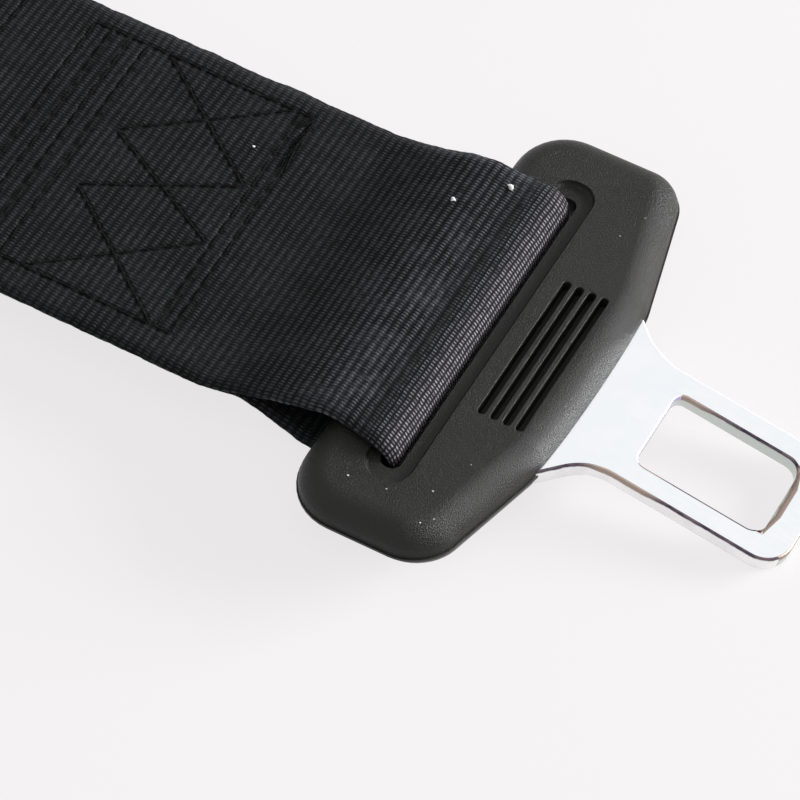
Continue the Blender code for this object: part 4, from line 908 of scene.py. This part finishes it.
def make_lint():
    """The bits of fluff and the scuffed crumbs that the photograph shows on the webbing and the head."""
    head = [(x, y, HEAD_TOP_Z, HEAD_LINT_RADIUS) for x, y in HEAD_LINT]
    for name, places, body in (("webbing_lint", WEB_LINT, STRAP_BODY), ("head_lint", head, TONGUE_BODY)):
        bm = bmesh.new()
        for i, (x, y, z, size) in enumerate(places):
            place = Matrix.Translation((FOLD_X + x, y, z))
            made = bmesh.ops.create_icosphere(bm, subdivisions=2, radius=size, matrix=place)
            for vert in made["verts"]:
                away = vert.co - place.translation
                bulge = 1 + 0.9 * noise.noise(vert.co * 4000 + Vector((i, 0, 0)))
                away = Vector((away.x * bulge * 1.3, away.y * bulge, away.z * 0.5))
                vert.co = place.translation + away
        add_piece(name, bm, [lint], body, (), 60)


# The tongue and its head

def as_photographed(corner, rear_x):
    """A corner of the head where the photograph shows it: leaned, off the middle, rounder near by."""
    x, y, rounding = corner
    if rounding == HEAD_FRONT_ROUNDING and y < 0:
        rounding *= HEAD_NEAR_ROUNDER
    shift = HEAD_FAR_SHIFT if y > 0 else HEAD_NEAR_SHIFT
    return x + HEAD_LEAN * y, y + shift + HEAD_SIDE_LEAN * (x - rear_x), rounding


def make_head():
    """The moulding: lower half, parting step, rounded upper half, slot in its recess, grip grooves."""
    rear, side_front, front = [FOLD_X + at for at in (-HEAD_REAR, HEAD_SIDE_FRONT, HEAD_FRONT)]
    bulge = FOLD_X + (HEAD_FRONT + HEAD_FRONT_BULGE)
    corners = both_sides([(rear, HEAD_HALF_WIDTH, HEAD_REAR_ROUNDING),
                          (side_front, HEAD_HALF_WIDTH, HEAD_FRONT_ROUNDING),
                          (front, NECK_HALF_WIDTH, NECK_ROUNDING), (bulge, 0, HEAD_BULGE_ROUNDING)])
    bm = bmesh.new()
    faces = outline(bm, [as_photographed(corner, rear) for corner in corners], HEAD_BOTTOM_Z)
    foot = {v for f in faces for v in f.verts}
    faces = raise_faces(bm, faces, HEAD_PARTING_Z - HEAD_FLANGE - HEAD_BOTTOM_Z)
    faces = raise_faces(bm, faces, HEAD_FLANGE)
    bmesh.ops.inset_region(bm, faces=faces, thickness=HEAD_PARTING_STEP, use_even_offset=True)
    raise_faces(bm, faces, HEAD_TOP_Z - HEAD_PARTING_Z)
    middle, half_length = (rear + bulge) / 2, (bulge - rear) / 2
    for vert in foot:
        vert.co.x = middle + (vert.co.x - middle) * (1 - HEAD_END_TAPER / half_length)
        vert.co.y *= 1 - HEAD_SIDE_TAPER / HEAD_HALF_WIDTH
    rounded_edges(bm, level_edges(bm, HEAD_TOP_Z), HEAD_EDGE_RADIUS, HEAD_EDGE_STEPS)
    rounded_edges(bm, level_edges(bm, HEAD_BOTTOM_Z), HEAD_FOOT_CHAMFER, 3)

    above = (0.0, HEAD_TOP_Z + CUT_MARGIN)
    dish = bmesh.new()
    stadium(dish, RECESS, [above] + [(inset, HEAD_TOP_Z - depth) for inset, depth in RECESS_STEPS])
    bm = carved(bm, dish)
    hole = bmesh.new()
    stadium(hole, SLOT, [above, (0.0, HEAD_BOTTOM_Z + SLOT_FLARE), (-SLOT_FLARE, HEAD_BOTTOM_Z),
                         (-SLOT_FLARE, HEAD_BOTTOM_Z - CUT_MARGIN)])
    bm = carved(bm, hole)
    for i in range(GROOVES):
        at = GROOVE_START + i * GROOVE_PITCH
        groove = bmesh.new()
        stadium(groove, (at - GROOVE_WIDTH / 2, at + GROOVE_WIDTH / 2, GROOVE_HALF_LENGTH),
                [above, (0.0, HEAD_TOP_Z - GROOVE_DEPTH)], steps=4)
        bm = carved(bm, groove)
    rims = [e for e in level_edges(bm, HEAD_TOP_Z) if e.calc_face_angle(0) > 0.6
            and abs(e.verts[0].co.y) < GROOVE_HALF_LENGTH + GROOVE_RIM_MARGIN
            and e.verts[0].co.x > FOLD_X + GROOVE_RIM_START]
    rounded_edges(bm, rims, GROOVE_RIM_ROUNDING, 2)
    shade_broad_faces_flat(add_piece("moulded_head", bm, [head_plastic], TONGUE_BODY,
                                     ["tongue_head"], 50))


def bend_plate(bm):
    """Turns everything past the bend line down by the blade's drop."""
    centre_z = PLATE_TOP_Z - BEND_RADIUS
    for vert in bm.verts:
        past = vert.co.x - FOLD_X - BEND_START
        if past <= 0:
            continue
        radius = vert.co.z - centre_z
        angle = min(past / BEND_RADIUS, BLADE_DROP)
        rest = past - BEND_RADIUS * angle
        vert.co.x = FOLD_X + BEND_START + radius * math.sin(angle) + rest * math.cos(angle)
        vert.co.z = centre_z + radius * math.cos(angle) - rest * math.sin(angle)


def make_plate():
    """The stamped tongue: blanked, pierced, the window's tip rubbed flat, edges coined, then bent."""
    tip = FOLD_X + BLADE_START + BLADE_LENGTH + FLAT_SHIFT
    half = [(FOLD_X - PLATE_REAR, PLATE_HALF_WIDTH, REAR_ROUNDING),
            (FOLD_X + PLATE_SHOULDER, PLATE_HALF_WIDTH, SHOULDER_ROUNDING),
            (FOLD_X + NECK_START, NECK_HALF_WIDTH + NECK_FLARE, 0.0),
            (FOLD_X + BLADE_START, BLADE_HALF_WIDTH, ROOT_ROUNDING),
            (tip, BLADE_HALF_WIDTH, TIP_ROUNDING)]
    bm = bmesh.new()
    low_z = PLATE_TOP_Z - PLATE_THICKNESS
    raise_faces(bm, outline(bm, both_sides(half), low_z), PLATE_THICKNESS)
    slot = bmesh.new()
    margin = PLATE_SLOT_MARGIN
    stadium(slot, (SLOT[0] - margin, SLOT[1] + margin, SLOT[2] + margin),
            [(0.0, PLATE_TOP_Z + CUT_MARGIN), (0.0, low_z - CUT_MARGIN)])
    bm = carved(bm, slot)
    window = bmesh.new()
    x0, x1, y1 = FOLD_X + WINDOW[0], FOLD_X + WINDOW[1], WINDOW[2]
    window_half = [(x0, y1, WINDOW_ROUNDINGS[0]), (x1, y1, WINDOW_ROUNDINGS[1])]
    raise_faces(window, outline(window, both_sides(window_half), low_z - CUT_MARGIN),
                PLATE_THICKNESS + 2 * CUT_MARGIN)
    bm = carved(bm, window)
    chamfer = bmesh.new()
    rings = []
    for y, size in CHAMFER_RINGS:
        ring = ((-CHAMFER_BACK, -size), (0.0, -size), (size, 0.0), (size, CUT_MARGIN),
                (-CHAMFER_BACK, CUT_MARGIN))
        rings.append([chamfer.verts.new((x1 + dx, y, PLATE_TOP_Z + dz)) for dx, dz in ring])
    chamfer.faces.new(rings[0])
    chamfer.faces.new(rings[-1][::-1])
    for before, after in zip(rings, rings[1:]):
        for i in range(len(before)):
            j = (i + 1) % len(before)
            chamfer.faces.new((before[i], before[j], after[j], after[i]))
    bm = carved(bm, chamfer)
    edges = [e for e in bm.edges if e.calc_face_angle(0) > 1.0]
    rounded_edges(bm, edges, COINED_EDGE, 3)
    for face in bm.faces:
        face.material_index = 0 if abs(face.normal.z) > 0.97 else 1
    for step in range(BEND_CUTS):
        cut_x = FOLD_X + BEND_START + (BEND_END - BEND_START) * step / (BEND_CUTS - 1)
        bmesh.ops.bisect_plane(bm, geom=bm.verts[:] + bm.edges[:] + bm.faces[:], plane_co=(cut_x, 0, 0),
                               plane_no=(1, 0, 0))
    bend_plate(bm)
    shade_broad_faces_flat(add_piece("plated_tongue", bm, [steel, edge_steel], TONGUE_BODY,
                                     ["tongue_plate"], 50))


# Finishes on the pieces whose CAD shape stays

def finish_frame_pieces():
    finishes = (
        (case_plastic, ("buckle_lower_cover", "buckle_upper_cover")),
        (zinc_steel, ("buckle_frame", "latch", "latch_pivot_pin", "lift_pin", "casing_screw_front_left",
                      "casing_screw_front_right", "casing_screw_rear_left", "casing_screw_rear_right")),
        (white_plastic, ("webbing_guard", "ejector")),
        (red_plastic, ("release_button",)),
        (spring_steel, ("button_spring_left", "button_spring_right", "latch_spring", "ejector_spring")))
    for material, names in finishes:
        for name in names:
            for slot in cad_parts[name].material_slots:
                slot.material = material


# Floor, light and camera

def make_stage():
    bm = bmesh.new()
    bmesh.ops.create_grid(bm, x_segments=1, y_segments=1, size=FLOOR_SIZE)
    mesh = bpy.data.meshes.new("floor")
    bm.to_mesh(mesh)
    bm.free()
    floor = bpy.data.objects.new("floor", mesh)
    floor.location.z = -FLOOR_DROP
    bpy.context.scene.collection.objects.link(floor)
    material = bpy.data.materials.new("pale_floor")
    material.use_nodes = True
    board = Board(material.node_tree)
    material.node_tree.nodes.remove(material.node_tree.nodes["Principled BSDF"])
    diffuse = board.put("ShaderNodeBsdfDiffuse", {"Color": FLOOR_COLOUR})
    glow = board.put("ShaderNodeEmission", {"Color": FLOOR_COLOUR, "Strength": 1.0})
    path = board.put("ShaderNodeLightPath")
    seen = board.math("MAXIMUM", path.outputs["Is Camera Ray"], path.outputs["Is Glossy Ray"])
    share = board.math("MULTIPLY", seen, FLOOR_GLOW)
    mixed = board.put("ShaderNodeMixShader", {0: share, 1: diffuse.outputs[0], 2: glow.outputs[0]})
    board.tree.links.new(mixed.outputs[0], board.tree.nodes["Material Output"].inputs["Surface"])
    mesh.materials.append(material)

    world = bpy.data.worlds.new("studio")
    bpy.context.scene.world = world
    world.use_nodes = True
    board = Board(world.node_tree)
    path = board.put("ShaderNodeLightPath")
    seen = board.math("MAXIMUM", path.outputs["Is Camera Ray"], path.outputs["Is Glossy Ray"])
    background = world.node_tree.nodes["Background"]
    background.inputs["Color"].default_value = WORLD_COLOUR
    strength = board.map(seen, 0.0, 1.0, WORLD_LIGHT, WORLD_SEEN, smooth=False)
    board.tree.links.new(strength, background.inputs["Strength"])


def make_lights():
    for name, place, size, power, colour in LAMPS:
        data = bpy.data.lights.new(name, "AREA")
        data.shape = "RECTANGLE"
        data.size, data.size_y = size
        data.energy = power
        data.color = colour
        made = bpy.data.objects.new(name, data)
        bpy.context.scene.collection.objects.link(made)
        made.location = place
        made.rotation_euler = (Vector(LAMP_TARGET) - Vector(place)).to_track_quat("-Z", "Y").to_euler()


def make_camera():
    """The photograph's camera, found from the strap's edges, the head, the grooves and the window."""
    data = bpy.data.cameras.new("camera")
    data.sensor_width = CAMERA_SENSOR
    data.lens = CAMERA_LENS
    made = bpy.data.objects.new("camera", data)
    bpy.context.scene.collection.objects.link(made)
    right, up = Vector(CAMERA_RIGHT), Vector(CAMERA_UP)
    turned = Matrix((right, up, right.cross(up))).transposed().to_4x4()
    made.matrix_world = Matrix.Translation(CAMERA_PLACE) @ turned
    bpy.context.scene.camera = made


make_seam("tongue_end_stitches", FOLD_X, -1, "tongue_end_stitching")
make_seam("buckle_end_stitches", BUCKLE_FOLD_X, 1, "buckle_end_stitching")
make_webbing()
make_lint()
make_head()
make_plate()
finish_frame_pieces()
make_stage()
make_lights()
make_camera()

bpy.context.scene.view_settings.view_transform = "Standard"
